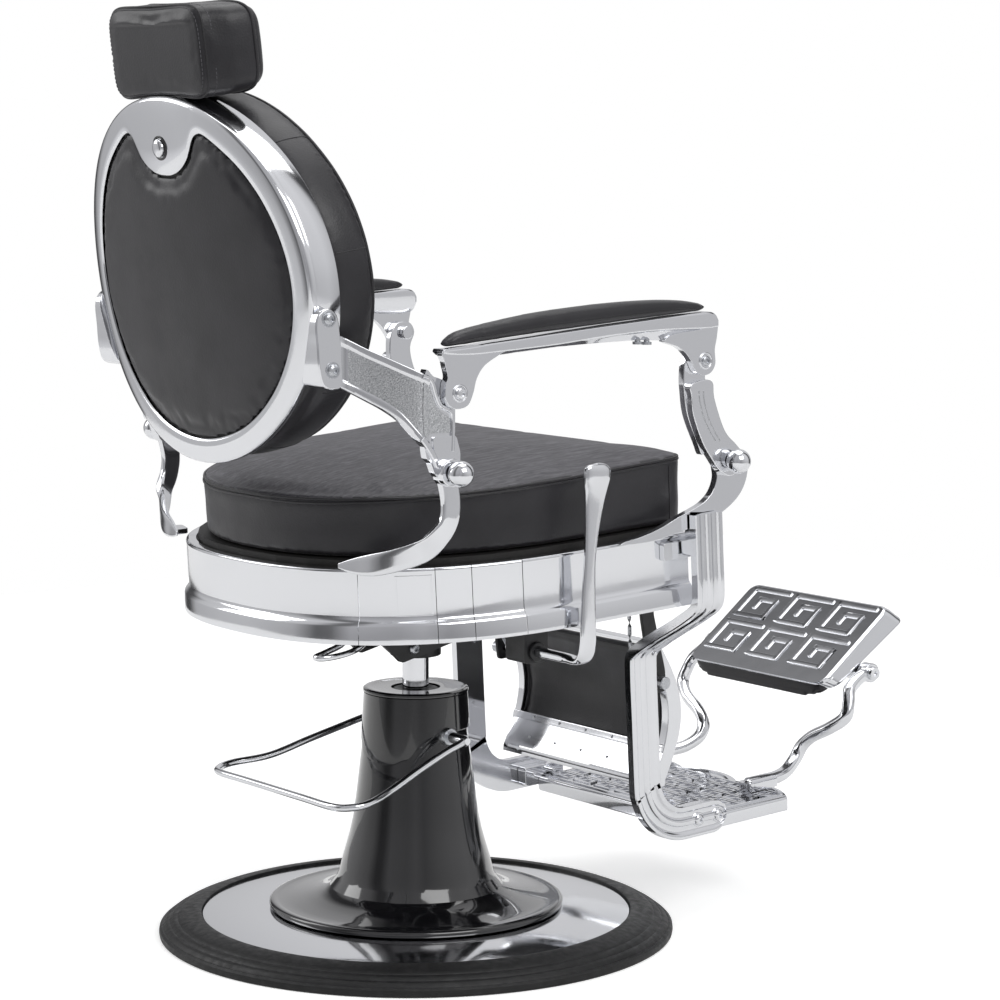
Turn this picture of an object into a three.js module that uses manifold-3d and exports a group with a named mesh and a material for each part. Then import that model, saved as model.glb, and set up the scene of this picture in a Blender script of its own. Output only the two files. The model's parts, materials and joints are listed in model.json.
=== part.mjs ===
// Hydraulic barber chair: weighted round base, pump column, seat on a D-shaped apron, reclining
// round back with headrest, four-bar armrests, and a footrest hung in front on two channelled rails.
// Millimetres, +Z up, origin on the floor under the column. The sitter faces -Y.
import * as THREE from "three";
import Module from "manifold-3d";
import { mergeVertices } from "three/addons/utils/BufferGeometryUtils.js";

const wasm = await Module();
wasm.setup();

// ---------- driving dimensions ----------
const GAP = 0.3; // assembly clearance between touching pieces
const RUN = 0.05; // radial running clearance of a shaft in its hole
const TILT = 3.1; // the seat and all it carries lean back by this many degrees

const BASE = {
  radius: 325, rimWidth: 54, rimLap: 30, discEdgeZ: 27, discTopZ: 33, floorLip: 6, hubRadius: 60, plate: 12,
};
const DISC_RADIUS = BASE.radius - BASE.rimWidth;
const COVER = {
  flangeRadius: 186, flangeTop: 42, neckRadius: 96, neckZ: 80,
  waistRadius: 78, waistZ: 159, topRadius: 65.5, straightZ: 245, topZ: 306, wall: 6,
};
const CAP = { thickness: 6, radius: 66.5 };
const PISTON = { radius: 16.7, bottom: 96, top: 452 };
const CYLINDER = { radius: 40, bottom: BASE.discTopZ + 1 + GAP, top: 296 };
const GLAND = { radius: 30, sink: 2, bevel: 3 };
const PEDAL = {
  shaftRadius: 7, axisZ: 258, rod: 4.5, armX: 98, cornerX: 156, rearY: 212, footZ: 207, bush: 11,
  lip: 7,
};
const HUB = { sleeveRadius: 32, bottom: 352, plateX: 45, plateThickness: 7, front: -28, rear: 63 };
const APRON = {
  half: 293, rear: 305, centreY: -38, frontY: -197, splitY: 24, top: 512, bottom: 423.5,
  shoulder: 27, flare: 7, wall: 3, power: 2.4, rim: 12,
};
const BOARD = { thickness: 18, rise: 8 };
const CUSHION = {
  inset: 16, rearSide: 70, frontSide: 84, crown: 19, frontY: -214, corner: 32, power: 2.2,
};
const ARM_X = APRON.half + 18; // plane of both armrests, from the middle
const RECLINE = { y: 175, z: 622, pin: 5, ball: 15 };
const REAR_HINGE = { y: 167, z: 712 };
const FRONT_HINGE = { y: -199, z: 732, play: 1.1 };
const POST_HINGE = { y: -242, z: 609 };
const PIN = 4; // radius of the armrest hinge pins
const ARM = { width: 22 };
const RAIL = {
  width: 43, thickness: 12, upperX: APRON.half + 26, lowerX: 184, y: -206, top: 536, groove: 3,
};
const RAIL_BEND = { radius: 60, footZ: 116, footEnd: -334, jogTop: 426, jogBottom: 342 };
const PLATFORM = { half: RAIL.lowerX - 17, rear: -300, front: -490, bottom: 91, top: 113 };
const FOOTREST = {
  pivotY: -621.4, pivotZ: 249, pin: 5, half: 144, rearY: -562.7, rearZ: 247.2, length: 150.2,
  slope: 34.2, skirt: 26, thin: 0.6, flare: 6, armX: 156, bar: 8,
};
const CALF = {
  half: 157, bottom: 165, top: 345, y: -247, bulge: 32, bar: 9, depth: 21, hangY: -228, pegZ: 298,
};
const BACK = {
  y: 340, z: 830, lean: 8, half: 236, high: 218, wrap: 1010, band: 40, face: 23, wall: 3,
  cushion: 50, crown: 16, tongueHalf: 72, tongueHigh: 64, tongueZ: 190, bandEnd: -104,
};
const BUTTON = { radius: 11, stem: 4, z: 158 };
// The arms that carry the back: they sweep in from the armrest's plane to feet on the drum's band.
const BACK_ARM = { rise: 3, recess: 2, lip: 9, footY: 271, footEnd: 307, footLow: 723, footHigh: 807 };
const HEADREST = {
  z: BACK.z + BACK.high + 47, y: BACK.y + 30, lean: 12, padLean: 7, rearHalf: 95, frontHalf: 119,
  high: 53, dip: 0.08, arch: 0.2, postWidth: 26, postThick: 7, postLength: 190,
};
const LEVER = { x: APRON.half + 23, y: -26, z: 382, top: 615, thickness: 7, rod: 6 };
const LOCK = { rod: 3.5, z: 408, hubX: -22, hubY: 130 };

// ---------- materials ----------
const finish = (color, roughness, metalness) =>
  new THREE.MeshStandardMaterial({ color, roughness, metalness });
const chrome = finish(0xd9dadd, 0.12, 1);
const steel = finish(0x8d8f94, 0.35, 1);
const blackGloss = finish(0x121214, 0.18, 0.3);
const blackPaint = finish(0x1a1a1c, 0.45, 0.2);
const rubber = finish(0x161617, 0.85, 0);
const vinylTop = finish(0x55545a, 0.6, 0);
const vinylSide = finish(0x2b2a2e, 0.55, 0);
const wood = finish(0xa98659, 0.8, 0);
const zinc = finish(0xb9bbbf, 0.4, 1);

// ---------- solids ----------
const radians = THREE.MathUtils.degToRad;

// A three.js geometry as a closed solid: vertices merged, collapsed triangles dropped.
function toSolid(geometry) {
  const bare = new THREE.BufferGeometry();
  bare.setAttribute("position", geometry.getAttribute("position").clone());
  if (geometry.index) bare.setIndex(geometry.index.clone());
  const merged = mergeVertices(bare, 1e-4);
  const index = merged.index.array;
  const kept = [];
  for (let i = 0; i < index.length; i += 3) {
    const [a, b, c] = [index[i], index[i + 1], index[i + 2]];
    if (a !== b && b !== c && c !== a) kept.push(a, b, c);
  }
  const build = (triangles) =>
    new wasm.Manifold(
      new wasm.Mesh({
        numProp: 3,
        vertProperties: new Float32Array(merged.getAttribute("position").array),
        triVerts: new Uint32Array(triangles),
      }),
    );
  const made = build(kept);
  if (made.volume() >= 0) return made;
  for (let i = 0; i < kept.length; i += 3) [kept[i], kept[i + 1]] = [kept[i + 1], kept[i]];
  return build(kept);
}

function toGeometry(solid) {
  const mesh = solid.getMesh();
  const geometry = new THREE.BufferGeometry();
  const points = new Float32Array(mesh.numVert * 3);
  for (let i = 0; i < mesh.numVert; i++) {
    const start = i * mesh.numProp;
    points.set(mesh.vertProperties.subarray(start, start + 3), i * 3);
  }
  geometry.setAttribute("position", new THREE.BufferAttribute(points, 3));
  geometry.setIndex(new THREE.BufferAttribute(new Uint32Array(mesh.triVerts), 1));
  return geometry;
}

const join = (...parts) => toGeometry(parts.map(toSolid).reduce((a, b) => a.add(b)));
const cut = (body, ...tools) =>
  toGeometry(tools.map(toSolid).reduce((a, b) => a.subtract(b), toSolid(body)));
const clip = (body, tool) => toGeometry(toSolid(body).intersect(toSolid(tool)));

function at(geometry, x, y, z, rx = 0, ry = 0, rz = 0) {
  const turn = new THREE.Euler(radians(rx), radians(ry), radians(rz));
  const matrix = new THREE.Matrix4().makeRotationFromEuler(turn).setPosition(x, y, z);
  return geometry.clone().applyMatrix4(matrix);
}
const mirrored = (geometry) => {
  const solid = geometry.clone().applyMatrix4(new THREE.Matrix4().makeScale(-1, 1, 1));
  return toGeometry(toSolid(solid));
};
const box = (x0, x1, y0, y1, z0, z1) =>
  at(
    new THREE.BoxGeometry(x1 - x0, y1 - y0, z1 - z0),
    (x0 + x1) / 2, (y0 + y1) / 2, (z0 + z1) / 2,
  );
// A solid of revolution about +Z from [radius, z] pairs.
function revolve(profile, sides = 40) {
  const points = profile.map(([r, z]) => new THREE.Vector2(r, z));
  return at(new THREE.LatheGeometry(points, sides), 0, 0, 0, 90);
}
const pipe = (outer, inner, z0, z1, sides) =>
  revolve([[inner, z0], [outer, z0], [outer, z1], [inner, z1], [inner, z0]], sides);
// A round bar along X between two abscissae.
function crossBar(radius, x0, x1, y, z, sides = 12) {
  const bar = new THREE.CylinderGeometry(radius, radius, x1 - x0, sides);
  return at(bar, (x0 + x1) / 2, y, z, 0, 0, 90);
}
// The radius of a faceted hole that a round shaft of this radius turns in.
const bore = (radius, sides = 12, clearance = RUN) =>
  (radius + clearance) / Math.cos(Math.PI / sides);
// A closed outline with its corners rounded.
function outline(points, radius = 0) {
  const shape = new THREE.Shape();
  const n = points.length;
  points.forEach(([x, y], i) => {
    const here = new THREE.Vector2(x, y);
    const before = new THREE.Vector2(...points[(i + n - 1) % n]);
    const after = new THREE.Vector2(...points[(i + 1) % n]);
    const toBefore = before.clone().sub(here);
    const toAfter = after.clone().sub(here);
    const r = Math.min(radius, toBefore.length() / 2.05, toAfter.length() / 2.05);
    const enter = here.clone().add(toBefore.setLength(r));
    const leave = here.clone().add(toAfter.setLength(r));
    if (i === 0) shape.moveTo(enter.x, enter.y);
    else shape.lineTo(enter.x, enter.y);
    if (r > 0) shape.quadraticCurveTo(here.x, here.y, leave.x, leave.y);
  });
  shape.closePath();
  return shape;
}
const extrude = (shape, depth, curveSegments = 2) =>
  new THREE.ExtrudeGeometry(shape, { depth, bevelEnabled: false, curveSegments });
// A plate cut to a [y, z] outline, between two abscissae.
function sidePlate(points, x0, x1, radius = 0) {
  const basis = new THREE.Matrix4().makeBasis(
    new THREE.Vector3(0, 1, 0), new THREE.Vector3(0, 0, 1), new THREE.Vector3(1, 0, 0),
  );
  return at(extrude(outline(points, radius), x1 - x0).applyMatrix4(basis), x0, 0, 0);
}
const flatPlate = (points, z0, z1, radius = 0) =>
  at(extrude(outline(points, radius), z1 - z0), 0, 0, z0);
// A round bar along a smooth path.
function bentRod(radius, points, steps, sides = 10) {
  const path = new THREE.CatmullRomCurve3(points.map((p) => new THREE.Vector3(...p)));
  path.curveType = "catmullrom";
  path.tension = 0.35;
  const section = new THREE.Shape();
  for (let i = 0; i < sides; i++) {
    const a = (2 * Math.PI * i) / sides;
    if (i === 0) section.moveTo(radius, 0);
    else section.lineTo(radius * Math.cos(a), radius * Math.sin(a));
  }
  section.closePath();
  return new THREE.ExtrudeGeometry(section, { steps, extrudePath: path, bevelEnabled: false });
}
// A skin over rings of equal counts; open lofts get flat ends, closed ones join up.
function loft(rings, { closed = false, start = null, tip = null } = {}) {
  const n = rings[0].length;
  const points = rings.flat();
  const faces = [];
  const spans = closed ? rings.length : rings.length - 1;
  for (let i = 0; i < spans; i++) {
    const a = i * n;
    const b = ((i + 1) % rings.length) * n;
    for (let j = 0; j < n; j++) {
      const k = (j + 1) % n;
      faces.push(a + j, a + k, b + k, a + j, b + k, b + j);
    }
  }
  if (!closed) {
    const middle = (ring) =>
      ring[0].map((_, axis) => ring.reduce((sum, p) => sum + p[axis], 0) / n);
    const first = points.push(start ?? middle(rings[0])) - 1;
    const last = points.push(tip ?? middle(rings.at(-1))) - 1;
    const top = (rings.length - 1) * n;
    for (let j = 0; j < n; j++) {
      const k = (j + 1) % n;
      faces.push(first, k, j, last, top + j, top + k);
    }
  }
  const geometry = new THREE.BufferGeometry();
  geometry.setAttribute("position", new THREE.Float32BufferAttribute(points.flat(), 3));
  geometry.setIndex(faces);
  return geometry;
}
const signedPower = (v, p) => Math.sign(v) * Math.abs(v) ** p;

// ---------- scene graph ----------
const chair = new THREE.Group();
// The seat's own frame: level with the apron, turned about the column's axis at seat height.
const SEAT_PIVOT_Z = 500;
const seatFrame = new THREE.Group();
seatFrame.position.z = SEAT_PIVOT_Z;
seatFrame.rotation.x = radians(-TILT);
const seat = new THREE.Group();
seat.position.z = -SEAT_PIVOT_Z;
seatFrame.add(seat);
// The backrest's own frame: origin at the middle of the drum's rear edge, +Y to the rear.
const back = new THREE.Group();
back.position.set(0, BACK.y, BACK.z);
back.rotation.x = radians(-BACK.lean);
const headrest = new THREE.Group();
headrest.position.set(0, HEADREST.y, HEADREST.z);
headrest.rotation.x = radians(-HEADREST.lean);
chair.add(seatFrame, back, headrest);

function piece(name, geometry, material, parent = chair) {
  const mesh = new THREE.Mesh(toGeometry(toSolid(geometry)), material);
  mesh.name = name;
  parent.add(mesh);
}
const SIDES = [["right", -1], ["left", 1]];
// The same piece on both sides; it is drawn on the left, at +X.
function pair(name, geometry, material, parent = chair) {
  for (const [side, sign] of SIDES) {
    piece(`${name}_${side}`, sign > 0 ? geometry : mirrored(geometry), material, parent);
  }
}
// World [y, z] in the seat's frame, and back.
const sinT = Math.sin(radians(TILT));
const cosT = Math.cos(radians(TILT));
const toSeat = (y, z) => [
  y * cosT - (z - SEAT_PIVOT_Z) * sinT,
  SEAT_PIVOT_Z + y * sinT + (z - SEAT_PIVOT_Z) * cosT,
];
// A solid drawn in world axes, moved into the seat's frame.
function intoSeat(geometry) {
  return at(at(geometry, 0, 0, -SEAT_PIVOT_Z), 0, 0, SEAT_PIVOT_Z, TILT);
}

// ---------- base ----------
const B = BASE;
const lapRadius = DISC_RADIUS - B.rimLap;
const rimStep = B.rimWidth / 5;
piece(
  "base_ring",
  revolve([
    [lapRadius, 0], [B.radius - 3, 0], [B.radius, 4], [B.radius, 12],
    [B.radius - 0.7 * rimStep, 16], [B.radius - 2.4 * rimStep, 22], [DISC_RADIUS + 1.3 * rimStep, 28],
    [DISC_RADIUS + GAP, B.discEdgeZ + 2], [DISC_RADIUS + GAP, B.floorLip],
    [lapRadius, B.floorLip], [lapRadius, 0],
  ], 40),
  rubber,
);
// The disc casting: a lip that rests in the rim, a web, and a round boss that stands on the floor.
const lipRadius = lapRadius - GAP;
const lipWidth = B.rimLap * 2 / 3;
const boss = new THREE.Shape();
boss.absarc(0, 0, B.hubRadius, 0, 2 * Math.PI);
piece(
  "base_disc",
  join(
    revolve([
      [0, B.discTopZ - B.plate], [B.hubRadius, B.discTopZ - B.plate],
      [lipRadius - lipWidth - 2, B.discEdgeZ - B.plate + 2], [lipRadius - lipWidth, 0],
      [lipRadius, 0], [lipRadius, B.floorLip + GAP], [DISC_RADIUS, B.floorLip + GAP],
      [DISC_RADIUS, B.discEdgeZ - 4], [DISC_RADIUS - 4, B.discEdgeZ],
      [COVER.flangeRadius + 20, B.discTopZ], [0, B.discTopZ + 1],
    ], 40),
    extrude(boss, B.discTopZ - B.plate + 2, 24),
  ),
  chrome,
);

// ---------- pump column ----------
const C = COVER;
const seatOfCover = B.discTopZ + 1 + GAP;
const coverProfile = [
  [C.flangeRadius - 4, seatOfCover], [C.flangeRadius, seatOfCover + 3],
  [C.flangeRadius - 1, C.flangeTop - 2], [C.flangeRadius - 7, C.flangeTop + 1],
  [C.flangeRadius - 13, C.flangeTop], [128, 48], [108, 58], [99, 68], [C.neckRadius, C.neckZ],
  [91.6, 96], [84.5, 123], [C.waistRadius, C.waistZ], [73.4, 216], [C.topRadius + 1, C.straightZ],
  [C.topRadius, C.topZ],
];
const shaftHole = (radius) =>
  crossBar(radius, -C.topRadius - 20, C.topRadius + 20, 0, PEDAL.axisZ, 16);
// A raised U-shaped lip round the pedal shaft, lower at the rear than in front.
function pedalLip(grow) {
  const front = -38 - grow;
  const rear = 70 + grow;
  const band = sidePlate(
    [[front, PEDAL.axisZ + 14 + grow], [6, PEDAL.axisZ + 18 + grow], [rear, 232 + grow],
      [rear, 218 - grow], [10, 241 - grow], [front, PEDAL.axisZ - 10 - grow]],
    -C.topRadius - 22, C.topRadius + 22, 16,
  );
  const skin = revolve([
    [0, 180], [C.waistRadius - 1, 180], [C.topRadius + 1 + PEDAL.lip, C.straightZ],
    [C.topRadius + PEDAL.lip, C.topZ - 8], [C.topRadius - 2, C.topZ - 2], [0, C.topZ - 2],
  ], 16);
  return clip(band, skin);
}
// The profile moved inwards by the wall, square to its own run.
function wallInside(profile, wall) {
  return profile.map(([r, z], i) => {
    const [r0, z0] = profile[Math.max(0, i - 1)];
    const [r1, z1] = profile[Math.min(profile.length - 1, i + 1)];
    const run = Math.hypot(r1 - r0, z1 - z0);
    return [r - (wall * (z1 - z0)) / run, z + (wall * (r1 - r0)) / run];
  });
}
const bell = coverProfile.slice(4);
const coverOuter = revolve([[0, seatOfCover], ...coverProfile, [0, C.topZ]], 30);
const coverInner = revolve([
  [0, seatOfCover - 1], [C.flangeRadius - 18, seatOfCover - 1],
  ...wallInside(bell, C.wall - 1).filter((_, i) => i % 2 === 0), [C.topRadius - C.wall + 1, C.topZ + 1],
  [0, C.topZ + 1],
], 18);
piece(
  "pedestal_cover",
  cut(join(coverOuter, pedalLip(0)), coverInner, shaftHole(PEDAL.bush + GAP)),
  blackGloss,
);
piece(
  "pump_cylinder",
  cut(
    revolve([
      [0, CYLINDER.bottom], [CYLINDER.radius, CYLINDER.bottom], [CYLINDER.radius, CYLINDER.top],
      [0, CYLINDER.top],
    ], 32),
    revolve([
      [0, PISTON.bottom - 4], [bore(PISTON.radius, 32), PISTON.bottom - 4],
      [bore(PISTON.radius, 32), CYLINDER.top + 1], [0, CYLINDER.top + 1],
    ], 32),
    box(PISTON.radius + 6, CYLINDER.radius + 2, -12, 12, PEDAL.axisZ - 14, PEDAL.axisZ + 14),
    box(-CYLINDER.radius - 2, -PISTON.radius - 6, -12, 12, PEDAL.axisZ - 14, PEDAL.axisZ + 14),
  ),
  steel,
);
piece(
  "pedestal_cap",
  revolve([
    [GLAND.radius + GAP, C.topZ + GAP], [CAP.radius, C.topZ + GAP],
    [CAP.radius, C.topZ + GAP + CAP.thickness - 2], [CAP.radius - 3, C.topZ + GAP + CAP.thickness],
    [GLAND.radius + GAP, C.topZ + GAP + CAP.thickness], [GLAND.radius + GAP, C.topZ + GAP],
  ], 28),
  blackGloss,
);
const glandTop = C.topZ + CAP.thickness - GLAND.sink;
piece(
  "piston_gland",
  revolve([
    [bore(PISTON.radius, 32), CYLINDER.top + GAP], [GLAND.radius, CYLINDER.top + GAP],
    [GLAND.radius, glandTop - GLAND.bevel], [GLAND.radius - GLAND.bevel, glandTop],
    [bore(PISTON.radius, 32), glandTop], [bore(PISTON.radius, 32), CYLINDER.top + GAP],
  ], 32),
  blackPaint,
);
piece(
  "piston",
  revolve([
    [0, PISTON.bottom], [PISTON.radius, PISTON.bottom], [PISTON.radius, PISTON.top - 4],
    [PISTON.radius - 4, PISTON.top], [0, PISTON.top],
  ], 32),
  chrome,
);

// ---------- pump pedal ----------
// Two half shafts leave room for the piston between them; the loop joins them behind the column.
const bushOuterX = C.topRadius + PEDAL.lip + 2;
const bush = cut(
  crossBar(PEDAL.bush, C.topRadius - C.wall - 12, bushOuterX, 0, PEDAL.axisZ, 20),
  crossBar(bore(PEDAL.shaftRadius), 0, bushOuterX + 5, 0, PEDAL.axisZ),
);
pair("pedal_bush", bush, zinc);
const P = PEDAL;
const loopPath = [
  [P.armX + 6, 0, P.axisZ], [P.armX + 12, 34, P.axisZ - 9], [P.armX + 22, 80, P.axisZ - 23],
  [P.armX + 35, 132, P.axisZ - 40], [P.cornerX - 5, P.rearY - 36, P.footZ + 4],
  [P.cornerX - 10, P.rearY - 12, P.footZ + 1], [P.cornerX - 32, P.rearY, P.footZ],
  [60, P.rearY, P.footZ],
];
const wholeLoop = [...loopPath, ...loopPath.map(([x, y, z]) => [-x, y, z]).reverse()];
const halfShaft = crossBar(P.shaftRadius, PISTON.radius + 12, P.armX + 12, 0, P.axisZ);
piece(
  "pump_pedal",
  join(bentRod(P.rod, wholeLoop, 30, 7), halfShaft, mirrored(halfShaft)),
  chrome,
);

// ---------- chassis under the seat ----------
const boardTop = APRON.top + BOARD.rise - GAP;
const boardBottom = boardTop - BOARD.thickness;
const chassisTop = boardBottom - GAP;
const web = sidePlate(
  [[HUB.front, 372], [HUB.rear, 356], [150, 440], [150, chassisTop - 3], [-130, chassisTop - 3],
    [-130, 440]],
  HUB.plateX - HUB.plateThickness / 2, HUB.plateX + HUB.plateThickness / 2, 8,
);
const sleeve = revolve([
  [0, HUB.bottom], [HUB.sleeveRadius, HUB.bottom], [HUB.sleeveRadius, chassisTop - 6],
  [0, chassisTop - 6],
], 32);
const boreOfHub = revolve([
  [0, HUB.bottom - 1], [bore(PISTON.radius, 32), HUB.bottom - 1],
  [bore(PISTON.radius, 32), PISTON.top + 1], [0, PISTON.top + 1],
], 32);
const gusset = box(-HUB.plateX, HUB.plateX, -8, 8, HUB.bottom + 24, chassisTop - 6);
piece(
  "chassis",
  cut(
    join(
      intoSeat(sleeve), intoSeat(gusset), web, mirrored(web),
      flatPlate([[-150, -150], [150, -150], [150, 170], [-150, 170]], chassisTop - 8, chassisTop, 20),
    ),
    intoSeat(boreOfHub),
  ),
  blackPaint,
  seat,
);

// ---------- seat ----------
// A D in plan: straight sides in front, a superellipse round the rear.
function seatOutline(half, frontY, inset = 0, corner = 0, power = APRON.power) {
  const reach = APRON.rear - inset;
  const side = half - inset;
  const right = [];
  if (corner > 0) {
    for (let i = 0; i <= 4; i++) {
      const a = (Math.PI / 2) * (1 - i / 4);
      right.push([side - corner + corner * Math.cos(a), frontY + corner - corner * Math.sin(a)]);
    }
  } else {
    right.push([side, frontY]);
  }
  right.push([side, (frontY + APRON.centreY) / 2]);
  const steps = 9;
  for (let i = 0; i < steps; i++) {
    const a = (Math.PI / 2) * (i / steps);
    right.push([
      side * signedPower(Math.cos(a), 2 / power),
      APRON.centreY + reach * signedPower(Math.sin(a), 2 / power),
    ]);
  }
  const left = right.map(([x, y]) => [-x, y]).reverse();
  return [...right, [0, APRON.centreY + reach], ...left];
}
const level = (points, z) => points.map(([x, y]) => [x, y, z]);
const A = APRON;
// The apron's pressed section as [outward, z]: flared skirt, shoulder, wall and inturned rim.
const apronSection = [
  [A.flare, A.bottom], [A.flare - 1, A.bottom + A.shoulder - 4], [0, A.bottom + A.shoulder],
  [0, A.top - 3], [-3, A.top], [-A.rim, A.top], [-A.rim, A.top - A.wall],
  [-A.wall, A.top - A.wall], [-A.wall, A.bottom + A.shoulder], [A.flare - A.wall - 1,
    A.bottom + A.shoulder - 4], [A.flare - A.wall, A.bottom],
];
const apronPoint = (a) => [
  A.half * signedPower(Math.cos(a), 2 / A.power),
  A.centreY + A.rear * signedPower(Math.sin(a), 2 / A.power),
];
const apronAngle = (y) => Math.asin(((y - A.centreY) / A.rear) ** (A.power / 2));
// The section carried along a run of plan points, square to it; both ends are cut along X.
function apronRun(points) {
  return loft(
    points.map(([x, y], i) => {
      const [x0, y0] = points[Math.max(0, i - 1)];
      const [x1, y1] = points[Math.min(points.length - 1, i + 1)];
      const length = Math.hypot(x1 - x0, y1 - y0);
      const atEnd = i === 0 || i === points.length - 1;
      const [nx, ny] = atEnd ? [Math.sign(x), 0] : [(y1 - y0) / length, (x0 - x1) / length];
      return apronSection.map(([out, z]) => [x + nx * out, y + ny * out, z]);
    }),
  );
}
const splitAngle = apronAngle(A.splitY + GAP / 2);
const rearRun = Array.from({ length: 23 }, (_, i) =>
  apronPoint(splitAngle + ((Math.PI - 2 * splitAngle) * i) / 22),
);
piece("seat_apron", apronRun(rearRun), chrome, seat);
// The front side plates are flat, each with a pressed recess and an adjusting slot.
const sideRun = [
  [A.half, A.frontY], [A.half, A.centreY],
  ...[A.centreY + 30, A.splitY - GAP / 2].map((y) => apronPoint(apronAngle(y))),
];
const sideApron = cut(
  apronRun(sideRun),
  box(A.half - 1.2, A.half + 9, -150, -45, A.bottom + A.shoulder + 8, A.top - 12),
  box(A.half - 9, A.half + 9, -112, -78, A.bottom + 52, A.bottom + 58),
);
pair("apron_side", sideApron, chrome, seat);
const boardOutline = seatOutline(A.half, A.frontY + 4, A.rim + 2);
piece(
  "seat_board",
  join(
    loft([level(boardOutline, A.top - A.wall - GAP + 1), level(boardOutline, boardTop)]),
    loft([
      level(seatOutline(A.half, A.frontY + 4, A.wall + 1.5), boardBottom),
      level(seatOutline(A.half, A.frontY + 4, A.wall + 1.5), A.top - A.wall - GAP),
    ]),
    loft([level(boardOutline, boardBottom + 1), level(boardOutline, boardTop - 1)]),
  ),
  wood,
  seat,
);
// The cushion: drawn-in sides, a double welt round the rim and a crowned top that rises in front.
const rimZ = (y) => {
  const share = (APRON.centreY + APRON.rear - y) / (APRON.centreY + APRON.rear - CUSHION.frontY);
  return boardTop + GAP + CUSHION.rearSide + share * (CUSHION.frontSide - CUSHION.rearSide);
};
const cushionRing = (inset, rise, share) =>
  seatOutline(
    A.half, CUSHION.frontY + inset - CUSHION.inset, inset, CUSHION.corner, CUSHION.power,
  ).map(([x, y]) => [x, y, boardTop + GAP + share * (rimZ(y) - boardTop - GAP) + rise],
  );
const U = CUSHION;
piece(
  "seat_cushion",
  loft(
    [
      cushionRing(U.inset + 10, 0, 0),
      cushionRing(U.inset + 2, 4, 0),
      cushionRing(U.inset - 1, 0, 0.35),
      cushionRing(U.inset, -14, 1),
      cushionRing(U.inset - 1, -9, 1),
      cushionRing(U.inset + 1, -6, 1),
      cushionRing(U.inset - 1, -3, 1),
      cushionRing(U.inset + 3, 0, 1),
      cushionRing(U.inset + 14, 3, 1),
      cushionRing(U.inset + 50, 9, 1),
      cushionRing(U.inset + 120, 16, 1),
      cushionRing(U.inset + 190, U.crown - 1, 1),
    ],
    { tip: [0, -30, rimZ(-30) + U.crown] },
  ),
  vinylTop,
  seat,
);

// ---------- rails to the footrest ----------
// A flat strap with two grooves on its outer face, along a planar route with a sideways jog.
function railStations() {
  const r = RAIL_BEND.radius;
  const footStart = RAIL.y - r;
  const stations = [];
  const add = (y, z, ty, tz, x) => stations.push({ y, z, ty, tz, x });
  const ease = (s) => s * s * (3 - 2 * s);
  const span = RAIL_BEND.jogTop - RAIL_BEND.jogBottom;
  add(RAIL.y, RAIL.top, 0, -1, RAIL.upperX);
  add(RAIL.y, RAIL_BEND.jogTop + 14, 0, -1, RAIL.upperX);
  const jogSteps = 6;
  for (let i = 0; i <= jogSteps; i++) {
    const s = i / jogSteps;
    const eased = 0.28 * ease(s) + 0.72 * s;
    const x = RAIL.upperX + (RAIL.lowerX - RAIL.upperX) * eased;
    add(RAIL.y, RAIL_BEND.jogTop - s * span, 0, -1, x);
  }
  add(RAIL.y, RAIL_BEND.jogBottom - 14, 0, -1, RAIL.lowerX);
  const arcSteps = 6;
  for (let i = 0; i <= arcSteps; i++) {
    const a = (Math.PI / 2) * (i / arcSteps);
    add(
      footStart + r * Math.cos(a), RAIL_BEND.footZ + r - r * Math.sin(a),
      -Math.sin(a), -Math.cos(a), RAIL.lowerX,
    );
  }
  add(RAIL_BEND.footEnd + RAIL.width / 2, RAIL_BEND.footZ, -1, 0, RAIL.lowerX);
  return stations;
}
function railGeometry() {
  const w = RAIL.width / 2;
  const t = RAIL.thickness / 2;
  const g = RAIL.groove;
  // [across, outward]: three ribs and two grooves on the outer face.
  const section = [
    [-w, -t], [w, -t], [w, t], [w - 7, t], [w - 9, t - g], [4.5, t - g], [3, t],
    [-3, t], [-4.5, t - g], [-w + 9, t - g], [-w + 7, t], [-w, t],
  ];
  const stations = railStations();
  const rings = stations.map((s, i) => {
    const before = stations[Math.max(0, i - 1)];
    const after = stations[Math.min(stations.length - 1, i + 1)];
    const run = Math.hypot(after.y - before.y, after.z - before.z);
    const lean = (after.x - before.x) / run;
    const length = Math.hypot(1, lean);
    // Outward normal of the strap, square to its run, and the direction across it.
    const normal = [1 / length, (-lean * s.ty) / length, (-lean * s.tz) / length];
    const across = [0, -s.tz, s.ty];
    return section.map(([u, v]) => [
      s.x + v * normal[0], s.y + u * across[1] + v * normal[1], s.z + u * across[2] + v * normal[2],
    ]);
  });
  const toe = crossBar(w, RAIL.lowerX - t, RAIL.lowerX + t - 1, RAIL_BEND.footEnd + w,
    RAIL_BEND.footZ, 16);
  return join(loft(rings), toe);
}
const railBolts = [RAIL_BEND.footEnd + 13, RAIL_BEND.footEnd + 46];
const railBoltHole = (y, r) =>
  crossBar(bore(r - RUN, 10), PLATFORM.half - 20, RAIL.lowerX + 20, y, RAIL_BEND.footZ, 10);
// Each rail is bolted through its foot to the platform's ear by two bolts.
const boltHeadX = RAIL.lowerX + RAIL.thickness / 2;
const bolts = railBolts.map((y) =>
  join(
    crossBar(4 - RUN, PLATFORM.half - 14, boltHeadX, y, RAIL_BEND.footZ, 10),
    crossBar(7.5, boltHeadX - RAIL.groove - 1, boltHeadX + 5, y, RAIL_BEND.footZ, 6),
  ),
);
pair("rail", join(railGeometry(), ...bolts), chrome, seat);

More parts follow.
